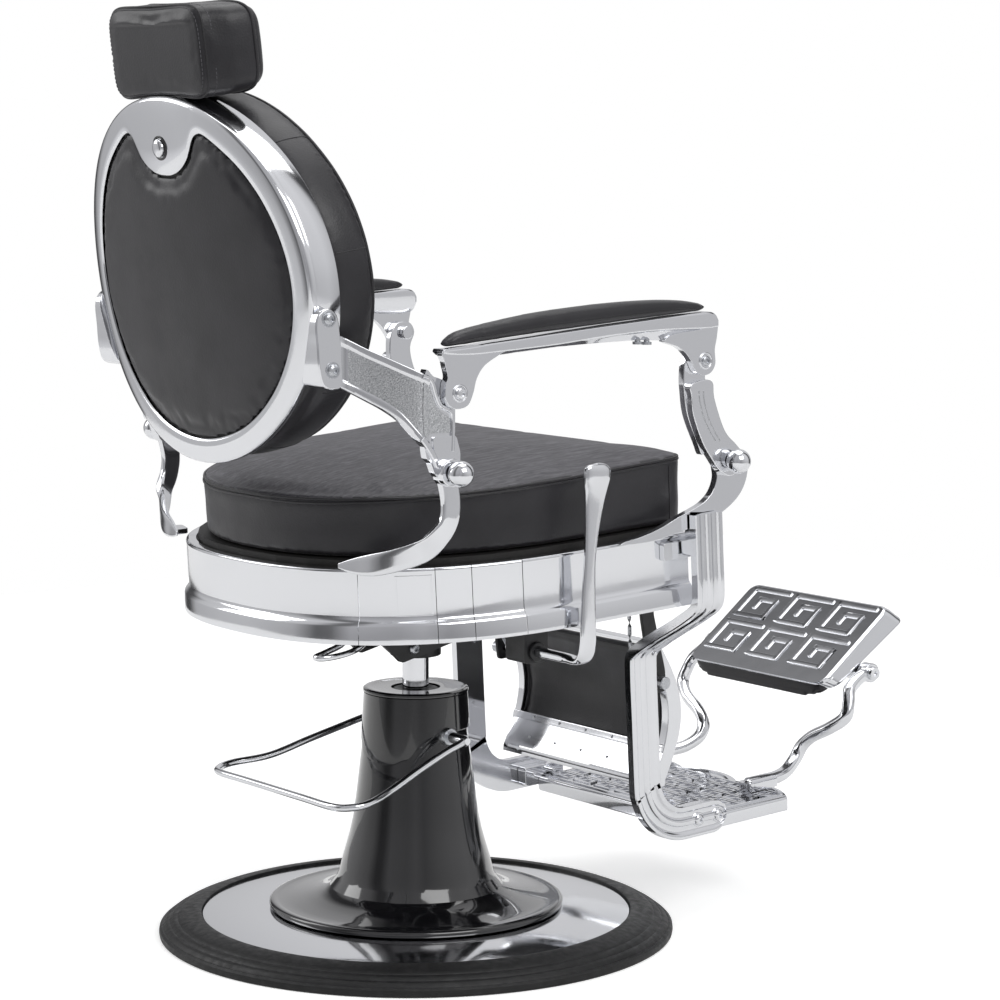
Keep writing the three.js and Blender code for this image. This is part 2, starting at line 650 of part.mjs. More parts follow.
// ---------- footrest ----------
const F = PLATFORM;
const scallop = [];
for (let i = 0; i <= 16; i++) {
  const s = i / 16;
  const x = F.half * (1 - 2 * s);
  scallop.push([x, F.front + 30 - 18 * Math.abs(Math.sin(Math.PI * s * 3)) - 12 * (1 - (x / F.half) ** 2)]);
}
const platformSlab = flatPlate(
  [[-F.half, F.rear], [F.half, F.rear], ...scallop], F.bottom, F.top, 3,
);
const treadBars = [];
for (let y = F.rear - 22; y > F.front + 40; y -= 20) {
  treadBars.push(box(-F.half + 16, F.half - 16, y - 3, y + 3, F.top - 2.5, F.top + 1));
}
const railEar = box(F.half - 6, RAIL.lowerX - RAIL.thickness / 2 - GAP, F.rear - 44, F.rear + 22,
  RAIL_BEND.footZ - 16, RAIL_BEND.footZ + 10);
piece(
  "foot_platform",
  cut(
    join(platformSlab, railEar, mirrored(railEar)),
    box(-F.half + 9, F.half - 9, F.front + 46, F.rear - 9, F.bottom - 1, F.top - 6),
    ...treadBars,
    ...railBolts.flatMap((y) => [railBoltHole(y, 4), mirrored(railBoltHole(y, 4))]),
  ),
  chrome,
  seat,
);
const R = FOOTREST;
const armLow = F.top + GAP + R.bar;
const footArmPath = [
  [112, -470, armLow], [112, -490, armLow], [104, -516, armLow + 3], [98, -538, 136],
  [99, -550, 152], [117, -553, 167], [148, -557, 182], [R.armX + 12, -568, 198],
  [R.armX + 8, -576, 216], [R.armX + 2, -584, 232], [R.armX, R.pivotY + 17, R.pivotZ - 5],
  [R.armX, R.pivotY, R.pivotZ],
];
const armEye = crossBar(13, R.armX - R.bar, R.armX + R.bar, R.pivotY, R.pivotZ);
const armFoot = box(98, 126, -482, -434, F.top + GAP, F.top + GAP + 11);
pair(
  "footrest_arm",
  cut(
    join(bentRod(R.bar, footArmPath, 20, 8), armEye, armFoot),
    crossBar(bore(R.pin), R.armX - 30, R.armX + 30, R.pivotY, R.pivotZ),
  ),
  chrome,
  seat,
);
// The flip-over plate: a flared tray with a relief of two rows of squared spirals on its top.
const plate = new THREE.Group();
plate.position.set(0, R.rearY, R.rearZ);
plate.rotation.x = radians(-R.slope);
seat.add(plate);
// In the plate's frame -Y runs up the slope and Z is out of the tread.
const plateRing = (grow, z) => {
  const h = R.half - R.flare + grow;
  const [y0, y1] = [R.flare - grow - 0, -R.length - grow + R.flare];
  const r = 14;
  const depth = (y) => (z < -6 ? z * (R.thin + (1 - R.thin) * Math.min(1, -y / R.length)) : z);
  const ring = [];
  for (const [cx, cy, a0] of [
    [h - r, y0 - r, 0], [-h + r, y0 - r, 90], [-h + r, y1 + r, 180], [h - r, y1 + r, 270],
  ]) {
    for (let i = 0; i <= 3; i++) {
      const a = radians(a0 + i * 30);
      const y = cy + r * Math.sin(a);
      ring.push([cx + r * Math.cos(a), y, depth(y)]);
    }
  }
  return ring;
};
const trayBody = loft([
  plateRing(R.flare, -R.skirt), plateRing(R.flare, -R.skirt + 3), plateRing(1, -5),
  plateRing(-1, -1), plateRing(-4, 0),
]);
const trayHollow = loft([plateRing(R.flare - 3, -R.skirt - 1), plateRing(-3, -5)]);
// One squared spiral of the tread, as bars on a grid of nine by nine.
const KEY = { pitch: 86, height: 60, line: 3.4, rise: 2 };
function keyMotif(x, y) {
  const u = KEY.pitch / 10;
  const v = KEY.height / 10;
  const runs = [
    [-4, -4, 4, -4], [4, -4, 4, 4], [4, 4, -3, 4], [-3, 4, -3, -2], [-3, -2, 2, -2], [2, -2, 2, 2],
    [2, 2, -1, 2], [-1, 2, -1, 0],
  ];
  return runs.map(([x0, y0, x1, y1]) =>
    box(
      x + Math.min(x0, x1) * u - KEY.line / 2, x + Math.max(x0, x1) * u + KEY.line / 2,
      y + Math.min(y0, y1) * v - KEY.line / 2, y + Math.max(y0, y1) * v + KEY.line / 2,
      -1, KEY.rise,
    ),
  );
}
const motifs = [];
for (const column of [-1, 0, 1]) {
  for (const row of [-0.5, 0.5]) {
    motifs.push(...keyMotif(column * KEY.pitch, -R.length / 2 + row * (KEY.height + 4)));
  }
}
// The pivot in the plate's frame.
const slopeSin = Math.sin(radians(R.slope));
const slopeCos = Math.cos(radians(R.slope));
const dy = R.pivotY - R.rearY;
const dz = R.pivotZ - R.rearZ;
const pivotLocal = [dy * slopeCos - dz * slopeSin, dy * slopeSin + dz * slopeCos];
const pivotLug = cut(
  join(
    sidePlate(
      [[pivotLocal[0] - 20, -4], [pivotLocal[0] + 20, -4], [pivotLocal[0] + 10, pivotLocal[1] - 10],
        [pivotLocal[0] - 10, pivotLocal[1] - 10]],
      R.half - R.flare - 14, R.half - R.flare - 6, 5,
    ),
    crossBar(R.pin, R.half - R.flare - 10, R.armX + R.bar + 1, ...pivotLocal),
    crossBar(9, R.armX + R.bar + GAP, R.armX + R.bar + 6, ...pivotLocal),
    crossBar(9, R.half - R.flare - 10, R.armX - R.bar - GAP, ...pivotLocal),
  ),
);
const pinSlot = box(R.half - R.flare - 8, R.half + 12, pivotLocal[0] - 9.5, pivotLocal[0] + 9.5,
  -R.skirt - 6, -R.skirt + 6);
piece(
  "footplate_tread",
  join(cut(join(trayBody, ...motifs), trayHollow, pinSlot, mirrored(pinSlot)), pivotLug,
    mirrored(pivotLug)),
  chrome,
  plate,
);
const padRing = (grow, z) => plateRing(grow, z);
piece(
  "footplate_pad",
  cut(
    loft([
      padRing(-20, -R.skirt - 10), padRing(-8, -R.skirt - 7), padRing(-3, -R.skirt + 1),
      padRing(-6, -5 - GAP),
    ]),
    box(R.half - R.flare - 20, R.half + 12, pivotLocal[0] - 24, pivotLocal[0] + 24, -R.skirt - 12, 0),
    box(-R.half - 12, -R.half + R.flare + 20, pivotLocal[0] - 24, pivotLocal[0] + 24,
      -R.skirt - 12, 0),
  ),
  vinylSide,
  plate,
);

// ---------- calf rest ----------
const K = CALF;
// A slab that follows the bowed side view between two shares of its height.
function calfSlab(s0, s1, front, rear, x0, x1, steps = 10) {
  const edge = (offset) =>
    Array.from({ length: steps + 1 }, (_, i) => {
      const s = s0 + ((s1 - s0) * i) / steps;
      const bow = K.bulge * Math.sin(Math.PI * Math.min(1, Math.max(0, s)));
      return [K.y - bow + offset, K.bottom + s * (K.top - K.bottom)];
    });
  return sidePlate([...edge(rear), ...edge(-front).reverse()], x0, x1);
}
const padHalf = K.half - K.bar - GAP;
piece("calf_pad", calfSlab(0, 1, 10, 4, -padHalf, padHalf), vinylSide, seat);
const calfSide = calfSlab(-0.03, 1.03, K.depth - 8, 8, K.half - K.bar, K.half);
const behindPad = (s0, s1) => calfSlab(s0, s1, -5, 9, -K.half + 1, K.half - 1, 2);
const edgeBar = (s0, s1) => calfSlab(s0, s1, 6, 8, -K.half + 1, K.half - 1, 1);
piece(
  "calf_frame",
  join(calfSide, mirrored(calfSide), behindPad(0.03, 0.26), edgeBar(-0.03, -0.004),
    edgeBar(1.004, 1.03)),
  chrome,
  seat,
);
const pegY = K.hangY - 23;
const calfBar = cut(
  sidePlate(
    [[K.hangY, 424], [K.hangY - 18, 424], [K.hangY - 20, 384], [K.hangY - 35, 312],
      [K.hangY - 35, 284], [K.hangY - 12, 284], [K.hangY - 10, 312], [K.hangY, 384]],
    K.half + GAP, K.half + 6, 6,
  ),
  crossBar(4, K.half - 5, K.half + 30, pegY, K.pegZ, 16),
);
pair(
  "calf_bar",
  join(calfBar, box(60, K.half + 6, K.hangY - 18, K.hangY, 416, 424),
    box(60, 70, K.hangY - 18, -130, 416, 424),
    box(56, 66, -150, -128, 416, chassisTop - 8 - GAP)),
  blackPaint,
  seat,
);
const calfPeg = join(
  crossBar(4 - RUN, K.half + GAP, K.half + 8, pegY, K.pegZ, 16),
  crossBar(8, K.half + 6 + GAP, RAIL.lowerX - RAIL.thickness / 2 - GAP, pegY, K.pegZ, 18),
);
pair("calf_peg", calfPeg, zinc, seat);

// ---------- brackets on the seat ----------
const [postY, postZ] = toSeat(POST_HINGE.y, POST_HINGE.z);
const [reclineY, reclineZ] = toSeat(RECLINE.y, RECLINE.z);
const innerX = ARM_X - ARM.width / 2;
const bracketX = [innerX + GAP, ARM_X - GAP];
const bracketMid = (bracketX[0] + bracketX[1]) / 2;
const frontBracket = cut(
  join(
    sidePlate(
      [[postY - 14, postZ - 4], [postY - 12, postZ + 12], [postY + 12, postZ + 12],
        [postY + 13, postZ - 14], [postY + 26, 569], [postY + 66, 540], [-119, 524],
        [-119, A.top - 22], [-186, A.top - 22], [-216, 524], [-236, 548], [postY - 16, 575]],
      ...bracketX, 9,
    ),
    box(A.half + GAP, bracketX[1], -184, -121, A.top - 30, A.top - 8),
  ),
  crossBar(bore(RECLINE.pin), 200, 400, postY, postZ),
);
pair("front_bracket", frontBracket, chrome, seat);
// The rear bracket sweeps from the recline pin round the rear of the D and seats on its rim.
function strapAlong(points, wide, thin) {
  return loft(
    points.map(([x, y, z, ax, ay, az], i) => {
      const prev = points[Math.max(0, i - 1)];
      const next = points[Math.min(points.length - 1, i + 1)];
      const along = new THREE.Vector3(next[0] - prev[0], next[1] - prev[1], next[2] - prev[2]);
      const out = new THREE.Vector3(ax, ay, az);
      const across = along.clone().cross(out).normalize();
      out.copy(across).cross(along).normalize();
      const ring = [];
      for (let j = 0; j < 10; j++) {
        const a = (2 * Math.PI * j) / 10;
        const u = (wide / 2) * signedPower(Math.cos(a), 0.6);
        const v = (thin / 2) * signedPower(Math.sin(a), 0.6);
        ring.push([
          x + across.x * u + out.x * v, y + across.y * u + out.y * v, z + across.z * u + out.z * v,
        ]);
      }
      return ring;
    }),
  );
}
const rearBracket = cut(
  join(
    strapAlong(
      [
        [bracketMid, reclineY, reclineZ + 4, 1, 0, 0], [bracketMid, reclineY - 4, 598, 1, 0, 0],
        [bracketMid, reclineY, 574, 1, 0, 0], [A.half + 7, 180, 556, 1, 0.3, 0],
        [A.half - 9, A.rear - 114, 541, 0.8, 0.6, 0],
        [A.half - 35, A.rear - 97, 530, 0.6, 0.8, 0.1],
        [A.half - 63, A.rear - 85, 524, 0.5, 0.85, 0.2],
        [A.half - 89, A.rear - 78, 522, 0.45, 0.9, 0.2],
      ],
      25, 10,
    ),
    crossBar(17, ...bracketX, reclineY, reclineZ, 24),
    box(A.half - 97, A.half - 77, A.rear - 101, A.rear - 71, A.top + GAP, A.top + 12),
    box(A.half - 90, A.half - 77, A.rear - 87, A.rear - 69, A.top - 24, A.top + 12),
  ),
  crossBar(bore(RECLINE.pin), 200, 400, reclineY, reclineZ),
  // the apron's outer face, with room for the plating
  loft([
    level(seatOutline(A.half + 0.4, A.frontY), A.top - 60),
    level(seatOutline(A.half + 0.4, A.frontY), A.top + GAP),
  ]),
  loft([
    cushionRing(U.inset - 4, -10, 0), cushionRing(U.inset - 4, 20, 1),
  ]),
);
pair("rear_bracket", rearBracket, chrome, seat);

// Ball-headed pins hold the back plates and the posts to their brackets.
const outerX = ARM_X + ARM.width / 2;
function ballPin(y, z) {
  const r = RECLINE.ball;
  const centre = outerX + GAP + r * Math.cos(radians(40));
  const dome = [];
  for (let a = 140; a >= 0; a -= 28) {
    dome.push([r * Math.sin(radians(a)), centre + r * Math.cos(radians(a))]);
  }
  const profile = [
    [0, innerX - 4], [8, innerX - 4], [8, innerX - GAP], [RECLINE.pin, innerX - GAP],
    [RECLINE.pin, outerX + GAP], ...dome,
  ];
  return at(at(revolve(profile, 12), 0, 0, 0, 0, 90), 0, y, z);
}
pair("recline_pin", ballPin(reclineY, reclineZ), chrome, seat);
pair("post_pin", ballPin(postY, postZ), chrome, seat);

// ---------- armrests ----------
const half = ARM.width / 2;
const hingeHole = (y, z, r) => crossBar(r, ARM_X - 40, ARM_X + 40, y, z);
const armFrame = cut(
  join(
    sidePlate(
      [[190, 764], [120, 774], [-41, 788], [-140, 792], [-212, 790], [-219, 780], [-213, 742],
        [-214, 724], [-199, 717], [-186, 724], [-178, 752], [-98, 762], [22, 754], [138, 738],
        [152, 716], [160, 699], [176, 699], [184, 712], [185, 740], [191, 754]],
      ARM_X - half, ARM_X + half, 9,
    ),
    crossBar(PIN, ARM_X - 2, ARM_X + half, FRONT_HINGE.y, FRONT_HINGE.z),
  ),
  // Rear lug on the outer half, against the back plate; front lug on the outer half, by the post.
  box(ARM_X - half - 1, ARM_X + GAP, 130, 200, 690, 737),
  box(ARM_X - half - 1, ARM_X + GAP, -240, -170, 700, 752),
  hingeHole(REAR_HINGE.y, REAR_HINGE.z, bore(PIN)),
);
const frontStub = join(
  crossBar(PIN, innerX - 1, ARM_X + 2, FRONT_HINGE.y, FRONT_HINGE.z),
  crossBar(9, innerX - 6, innerX - GAP, FRONT_HINGE.y, FRONT_HINGE.z),
);
pair("arm_frame", join(armFrame, frontStub), chrome);
pair(
  "arm_pad",
  loft(
    [
      [183, 767, 772, 9], [172, 768.5, 777, 12], [120, 775, 791, 14.5], [30, 783, 800, 15.5],
      [-41, 788.5, 805, 16], [-130, 792.2, 808.5, 15.5], [-184, 791.5, 803, 14],
      [-199, 791, 797, 10],
    ].map(([y, low, high, w]) => {
      const mid = (low + high) / 2 + GAP;
      const ring = [];
      for (let j = 0; j < 12; j++) {
        const a = (2 * Math.PI * j) / 12;
        ring.push([
          ARM_X + w * signedPower(Math.cos(a), 0.7), y,
          mid + ((high - low) / 2) * signedPower(Math.sin(a), 0.7),
        ]);
      }
      return ring;
    }),
  ),
  vinylSide,
);
// The posts stand on the inner half of the arm plane, between bracket and armrest lug.
const post = cut(
  join(
    sidePlate(
      [[-186, 745], [-173, 728], [-173, 697], [-180, 667], [-196, 633], [-222, 598], [-240, 588],
        [-258, 598], [-262, 616], [-236, 640], [-227, 656], [-213, 687], [-210, 712], [-216, 734],
        [-206, 747]],
      innerX, ARM_X - GAP, 10,
    ),
    sidePlate(
      [[-173, 700], [-180, 667], [-196, 633], [-222, 598], [-240, 588], [-258, 598], [-262, 616],
        [-236, 640], [-227, 656], [-212, 700]],
      ARM_X - 1, ARM_X + half - 1, 10,
    ),
  ),
  box(innerX - 1, ARM_X + GAP, -275, -170, 560, 648),
  hingeHole(FRONT_HINGE.y, FRONT_HINGE.z, bore(PIN, 12, FRONT_HINGE.play)),
  hingeHole(POST_HINGE.y, POST_HINGE.z, bore(RECLINE.pin)),
);
pair("arm_post", post, chrome);

// ---------- backrest ----------
const wrapSag = (x) => (x * x) / (2 * BACK.wrap);
// A closed ring of points at an inset from the drum's ellipse, at a depth behind its rear edge.
function drumRing(inset, depth, count = 40) {
  const ring = [];
  for (let i = 0; i < count; i++) {
    const a = (2 * Math.PI * i) / count;
    const x = (BACK.half - inset) * Math.cos(a);
    ring.push([x, depth - wrapSag(x), (BACK.high - inset) * Math.sin(a)]);
  }
  return ring;
}
const D = BACK;
const drumSkin = loft(
  [
    drumRing(0, -D.band), drumRing(0, -7), drumRing(5, 0), drumRing(D.face, 6),
    drumRing(D.face, 2), drumRing(D.wall + 1, -8), drumRing(D.wall, -D.band),
  ],
  { closed: true },
);
const tongue = (grow) => {
  const shape = new THREE.Shape();
  shape.absellipse(0, D.tongueZ, D.tongueHalf + grow, D.tongueHigh + grow, 0, 2 * Math.PI);
  return at(extrude(shape, 120, 10), 0, 60, 0, 90);
};
// A disc that follows the wrap: rear skin at y1, front skin at y0.
const drumDisc = (inset, y0, y1, crown = 0, count = 40) =>
  loft(
    [
      drumRing(inset + 90, y0, count), drumRing(inset, y0, count), drumRing(inset, y1, count),
      drumRing(inset + 90, y1 + crown * 0.8, count),
    ],
    { start: [0, y0, 0], tip: [0, y1 + crown, 0] },
  );
// A round bar along Y in the back's frame.
const backBar = (radius, y0, y1, x, z, sides = 20) =>
  at(new THREE.CylinderGeometry(radius, radius, y1 - y0, sides), x, (y0 + y1) / 2, z);
const tonguePlate = clip(
  clip(drumDisc(D.face - 3, 2, 5, 0.6), tongue(0)),
  box(-90, 90, -20, 20, 100, D.high - D.face + 8),
);
// Below the straps the band stops and only the drum's rear rim goes on round.
const bandCut = clip(
  loft([drumRing(-20, -90), drumRing(-20, -9)]),
  box(-300, 300, -200, 60, -300, D.bandEnd),
);
piece(
  "back_drum",
  cut(
    join(drumSkin, tonguePlate),
    bandCut,
    backBar(BUTTON.stem + GAP, -30, 30, 0, BUTTON.z),
  ),
  chrome,
  back,
);
piece("back_panel", cut(drumDisc(D.face + GAP, -2, 4, 4), tongue(GAP)), vinylSide, back);
piece(
  "back_board",
  cut(drumDisc(D.wall + 8, -13, -6.5, 0, 24), backBar(BUTTON.stem + 1, -30, 0, 0, BUTTON.z, 12)),
  wood,
  back,
);
const cushionStart = -15.5;
const cushionFront = -D.band - D.cushion;
piece(
  "back_cushion",
  loft(
    [
      [98, cushionStart], [9, cushionStart], [2, cushionStart - 6], [2, 1 - D.band],
      [-1, -D.band - 6], [1, -D.band - 26], [0, cushionFront + 12], [3, cushionFront + 8],
      [0.5, cushionFront + 4], [6, cushionFront], [40, cushionFront - D.crown * 0.45],
      [100, cushionFront - D.crown * 0.85],
    ].map(([inset, depth]) => drumRing(D.wall + inset, depth, 30)),
    { start: [0, cushionStart, 0], tip: [0, cushionFront - D.crown, 0] },
  ),
  vinylTop,
  back,
);
piece(
  "headrest_button",
  join(
    backBar(BUTTON.radius, 9.6, 14, 0, BUTTON.z),
    backBar(BUTTON.stem, -8, 10, 0, BUTTON.z, 16),
  ),
  blackPaint,
  back,
);

// ---------- back plates that carry the drum on the recline pins ----------
const plateOutline = [
  [206, 733], [184, 728], [160, 722], [157, 700], [160, 660], [157, 628], [160, 608], [175, 603],
  [190, 608], [194, 622], [198, 643], [206, 652],
];
const intoBackWorld = (g) => {
  const m = new THREE.Matrix4().makeRotationX(radians(-D.lean)).setPosition(0, D.y, D.z);
  return g.clone().applyMatrix4(m);
};
const K2 = BACK_ARM;
const footInX = D.half + 1;
const footOutX = footInX + ARM_X + K2.rise - innerX;
// The casting's section is a channel: [y, lowest, highest, share of the sweep inwards].
const backArm = loft(
  [
    [203, 648, 732, 0], [215, 660, 738, 0], [228, 683, 747, 0.25], [240, 694, 755, 0.48],
    [K2.footY - 4, 714, 772, 0.94], [K2.footY, 717, 774, 1], [K2.footY + 12, 720, 777, 1],
  ].map(([y, low, high, share]) => {
    const inX = innerX + share * (footInX - innerX);
    const outX = ARM_X + K2.rise + share * (footOutX - ARM_X - K2.rise);
    return [
      [inX, y, low], [outX, y, low], [outX, y, low + K2.lip],
      [outX - K2.recess, y, low + K2.lip + 2], [outX - K2.recess, y, high - K2.lip - 2],
      [outX, y, high - K2.lip], [outX, y, high], [inX, y, high],
    ];
  }),
);
const footOutline = [
  [K2.footY, K2.footLow], [K2.footEnd, K2.footLow], [K2.footEnd, K2.footHigh],
  [K2.footEnd - 14, K2.footHigh], [K2.footY, K2.footHigh - 24],
];
const backPlate = cut(
  join(
    sidePlate(plateOutline, innerX, ARM_X - GAP, 6),
    backArm,
    sidePlate(footOutline, footInX - 32, footOutX, 6),
    sidePlate(
      [[160, 606], [175, 603], [190, 606], [194, 622], [198, 650], [200, 664], [160, 664],
        [157, 628]],
      ARM_X - 2, ARM_X + 9, 5,
    ),
  ),
  hingeHole(REAR_HINGE.y, REAR_HINGE.z, bore(PIN)),
  hingeHole(RECLINE.y, RECLINE.z, bore(RECLINE.pin)),
  intoBackWorld(loft([drumRing(-1, -160), drumRing(-1, 30)])),
  // the lower end keeps to the outer half, beside the bracket's eye
  box(innerX - 1, ARM_X, 140, 215, 590, 646),
);
pair("back_plate", backPlate, chrome);
const rearHingePin = join(
  crossBar(PIN, innerX - 2, ARM_X + half + 2, REAR_HINGE.y, REAR_HINGE.z),
  crossBar(9, ARM_X + half + GAP, ARM_X + half + 6, REAR_HINGE.y, REAR_HINGE.z),
  crossBar(9, innerX - 6, innerX - GAP, REAR_HINGE.y, REAR_HINGE.z),
);
pair("rear_hinge_pin", rearHingePin, chrome);

// ---------- headrest ----------
const H = HEADREST;
const padTilt = Math.tan(radians(H.lean - H.padLean));
// The pad's edges: the top dips and the bottom arches over the drum in the middle.
const padSection = (halfWidth, halfHigh, y, bulge) => {
  const ring = [];
  for (let j = 0; j < 24; j++) {
    const a = (2 * Math.PI * j) / 24;
    const x = halfWidth * signedPower(Math.cos(a), 0.5);
    const share = (x / halfWidth) ** 2;
    const height = signedPower(Math.sin(a), 0.5);
    const z = halfHigh * height * (1 - (height > 0 ? H.dip : H.arch) * (1 - share));
    ring.push([x, y - bulge * share - padTilt * z, z]);
  }
  return ring;
};
const slotTop = 26 - H.high;
const headSlot = box(-H.postWidth / 2 - GAP, H.postWidth / 2 + GAP, -22, -4, -80, slotTop);
piece(
  "headrest_pad",
  cut(
    loft(
      [
        padSection(H.rearHalf - 6, H.high - 5, 0, 0), padSection(H.rearHalf, H.high, -6, 1),
        padSection(H.rearHalf + 17, H.high + 3, -26, 10),
        padSection(H.frontHalf, H.high + 4, -42, 20),
        padSection(H.frontHalf - 7, H.high, -52, 24), padSection(H.frontHalf - 21, H.high - 8, -58, 26),
        padSection(H.frontHalf - 49, H.high - 26, -62, 18),
      ],
    ),
    headSlot,
  ),
  vinylTop,
  headrest,
);
const postTopY = -13;
const headPost = box(-H.postWidth / 2, H.postWidth / 2, postTopY - H.postThick / 2,
  postTopY + H.postThick / 2, -H.postLength, slotTop - GAP);
piece("headrest_post", headPost, chrome, headrest);

const intoBack = (g) => {
  const world = g.clone().applyMatrix4(
    new THREE.Matrix4().makeRotationX(radians(-H.lean)).setPosition(0, H.y, H.z),
  );
  const inverse = new THREE.Matrix4().makeRotationX(radians(-D.lean)).setPosition(0, D.y, D.z);
  return world.applyMatrix4(inverse.invert());
};
const slide = (clear) =>
  intoBack(
    box(-H.postWidth / 2 - clear, H.postWidth / 2 + clear, postTopY - H.postThick / 2 - clear,
      postTopY + H.postThick / 2 + clear, -H.postLength - 90, -30),
  );
const socketRow = back.children.filter((m) =>
  ["back_drum", "back_board", "back_cushion", "back_panel"].includes(m.name));
for (const mesh of socketRow) {
  mesh.geometry = cut(mesh.geometry, slide(4));
}
piece(
  "headrest_socket",
  cut(
    clip(slide(3.4), box(-60, 60, -60, -9.2, 96, 206)),
    slide(0.4),
  ),
  steel,
  back,
);

// ---------- recline lever ----------
const L = LEVER;
const leverBlade = sidePlate(
  [
    [L.y - 8, 500], [L.y - 12, 540], [L.y - 17, 575], [L.y - 19, L.top - 8], [L.y - 10, L.top],
    [L.y + 8, L.top], [L.y + 17, L.top - 8], [L.y + 15, 575], [L.y + 10, 540], [L.y + 8, 500],
    [L.y + 11, 420], [L.y + 10, L.z + 6], [L.y - 10, L.z + 6], [L.y - 11, 420],
  ],
  L.x - L.thickness / 2, L.x + L.thickness / 2, 6,
);
const leverShank = bentRod(
  L.rod,
  [
    [L.x - 156, L.y, L.z], [L.x - 86, L.y, L.z], [L.x - 31, L.y, L.z], [L.x - 13, L.y, L.z + 4],
    [L.x, L.y, L.z + 20],
  ],
  12, 8,
);
piece("recline_lever", mirrored(join(leverBlade, leverShank)), chrome);
const mountBlock = cut(
  join(
    box(L.x - 140, L.x - 102, L.y - 18, L.y + 18, L.z - 14, 470),
    box(L.x - 196, L.x - 102, L.y - 18, L.y + 18, 470, 489),
  ),
  crossBar(bore(L.rod), L.x - 216, L.x - 56, L.y, L.z),
  fromSeat(box(-400, 400, -400, 400, chassisTop - 8 - GAP, 600)),
);
piece("recline_mount", mirrored(mountBlock), blackPaint);

// A solid drawn in the seat's frame, moved into world axes.
function fromSeat(geometry) {
  return at(at(geometry, 0, 0, -SEAT_PIVOT_Z), 0, 0, SEAT_PIVOT_Z, -TILT);
}

// ---------- swivel lock ----------
const lockPath = [
  [-26, 134, LOCK.z], [-52, 146, LOCK.z], [-84, 166, LOCK.z], [-112, 196, LOCK.z],
  [-134, 232, LOCK.z], [-150, 256, LOCK.z], [-162, 250, LOCK.z], [-160, 226, LOCK.z],
  [-142, 190, LOCK.z], [-112, 160, LOCK.z], [-74, 136, LOCK.z], [-34, 122, LOCK.z],
];
const lockTop = chassisTop - 8 - GAP;
const lockShaft = at(
  new THREE.CylinderGeometry(9, 9, lockTop - LOCK.z + 10, 16),
  LOCK.hubX, LOCK.hubY, (lockTop + LOCK.z - 10) / 2, 90,
);
piece("swivel_lock", join(bentRod(LOCK.rod, lockPath, 22, 6), lockShaft), chrome, seat);

export default chair;
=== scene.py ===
"""Dresses the hydraulic barber chair: its visible pieces, their finishes, and a plain studio.

Sizes are millimetres in the part's own frame: +Z up, origin on the floor under the column, the
sitter faces -Y. Shells are turned to metres when they become objects.
"""

import json
import logging
import math
from collections.abc import Callable, Sequence
from dataclasses import dataclass, field
from enum import Enum
from typing import Any

import bmesh
import bpy
from mathutils import Matrix, Vector
from mathutils.bvhtree import BVHTree

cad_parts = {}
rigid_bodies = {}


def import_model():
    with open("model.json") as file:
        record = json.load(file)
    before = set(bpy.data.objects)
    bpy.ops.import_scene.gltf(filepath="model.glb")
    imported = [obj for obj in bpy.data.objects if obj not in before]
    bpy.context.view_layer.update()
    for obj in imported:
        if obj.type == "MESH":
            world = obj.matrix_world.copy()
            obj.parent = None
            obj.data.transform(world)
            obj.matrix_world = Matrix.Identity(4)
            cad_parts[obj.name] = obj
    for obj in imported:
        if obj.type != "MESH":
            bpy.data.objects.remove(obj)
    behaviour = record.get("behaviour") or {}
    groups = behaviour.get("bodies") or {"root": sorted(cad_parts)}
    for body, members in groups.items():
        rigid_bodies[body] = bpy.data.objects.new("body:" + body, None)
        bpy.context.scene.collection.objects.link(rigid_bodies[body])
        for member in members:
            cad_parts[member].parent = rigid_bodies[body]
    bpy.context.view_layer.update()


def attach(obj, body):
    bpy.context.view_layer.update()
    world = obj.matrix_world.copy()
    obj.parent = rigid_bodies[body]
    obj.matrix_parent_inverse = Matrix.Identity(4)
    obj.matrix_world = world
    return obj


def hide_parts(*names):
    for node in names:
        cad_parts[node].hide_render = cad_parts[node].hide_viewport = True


LOG = logging.getLogger("barber_chair")
MM = 0.001

Point = tuple[float, float, float]
Flat = tuple[float, float]


class Side(Enum):
    """The two sides of the chair, as the sitter has them; shapes are drawn on the left, at +X."""

    RIGHT = -1
    LEFT = 1

    def named(self, stem: str) -> str:
        """Returns the stem with this side's name behind it."""
        return f"{stem}_{self.name.lower()}"


class Axis(Enum):
    """The direction that a plate is thick in, or that a turned piece runs along."""

    X = "x"
    Y = "y"
    Z = "z"


# ---------------------------------------------------------------- frames


def turn(degrees: float, at: Point, tilt: Matrix | None = None) -> Matrix:
    """A frame turned about X through a point.

    Args:
        degrees: The turn about the X axis.
        at: The point that the turn leaves in place, in millimetres.
        tilt: A frame that the turned one stands in.

    Returns:
        The matrix from the turned frame to the part's frame.
    """
    placed = Matrix.Translation(at) @ Matrix.Rotation(math.radians(degrees), 4, "X")
    return tilt @ placed if tilt else placed


SEAT = turn(-3.1, (0, 0, 500)) @ Matrix.Translation((0, 0, -500))
BACK = turn(-8.0, (0, 340, 830))
HEAD = turn(-12.0, (0, 370, 1095))
PLATE = turn(-34.2, (0, -562.7, 247.2), SEAT)
WORLD = Matrix.Identity(4)


def seat_yz(y: float, z: float) -> Flat:
    """The part's [y, z] as read in the seat's leaning frame."""
    local = SEAT.inverted() @ Vector((0, y, z))
    return local.y, local.z


# ---------------------------------------------------------------- shells


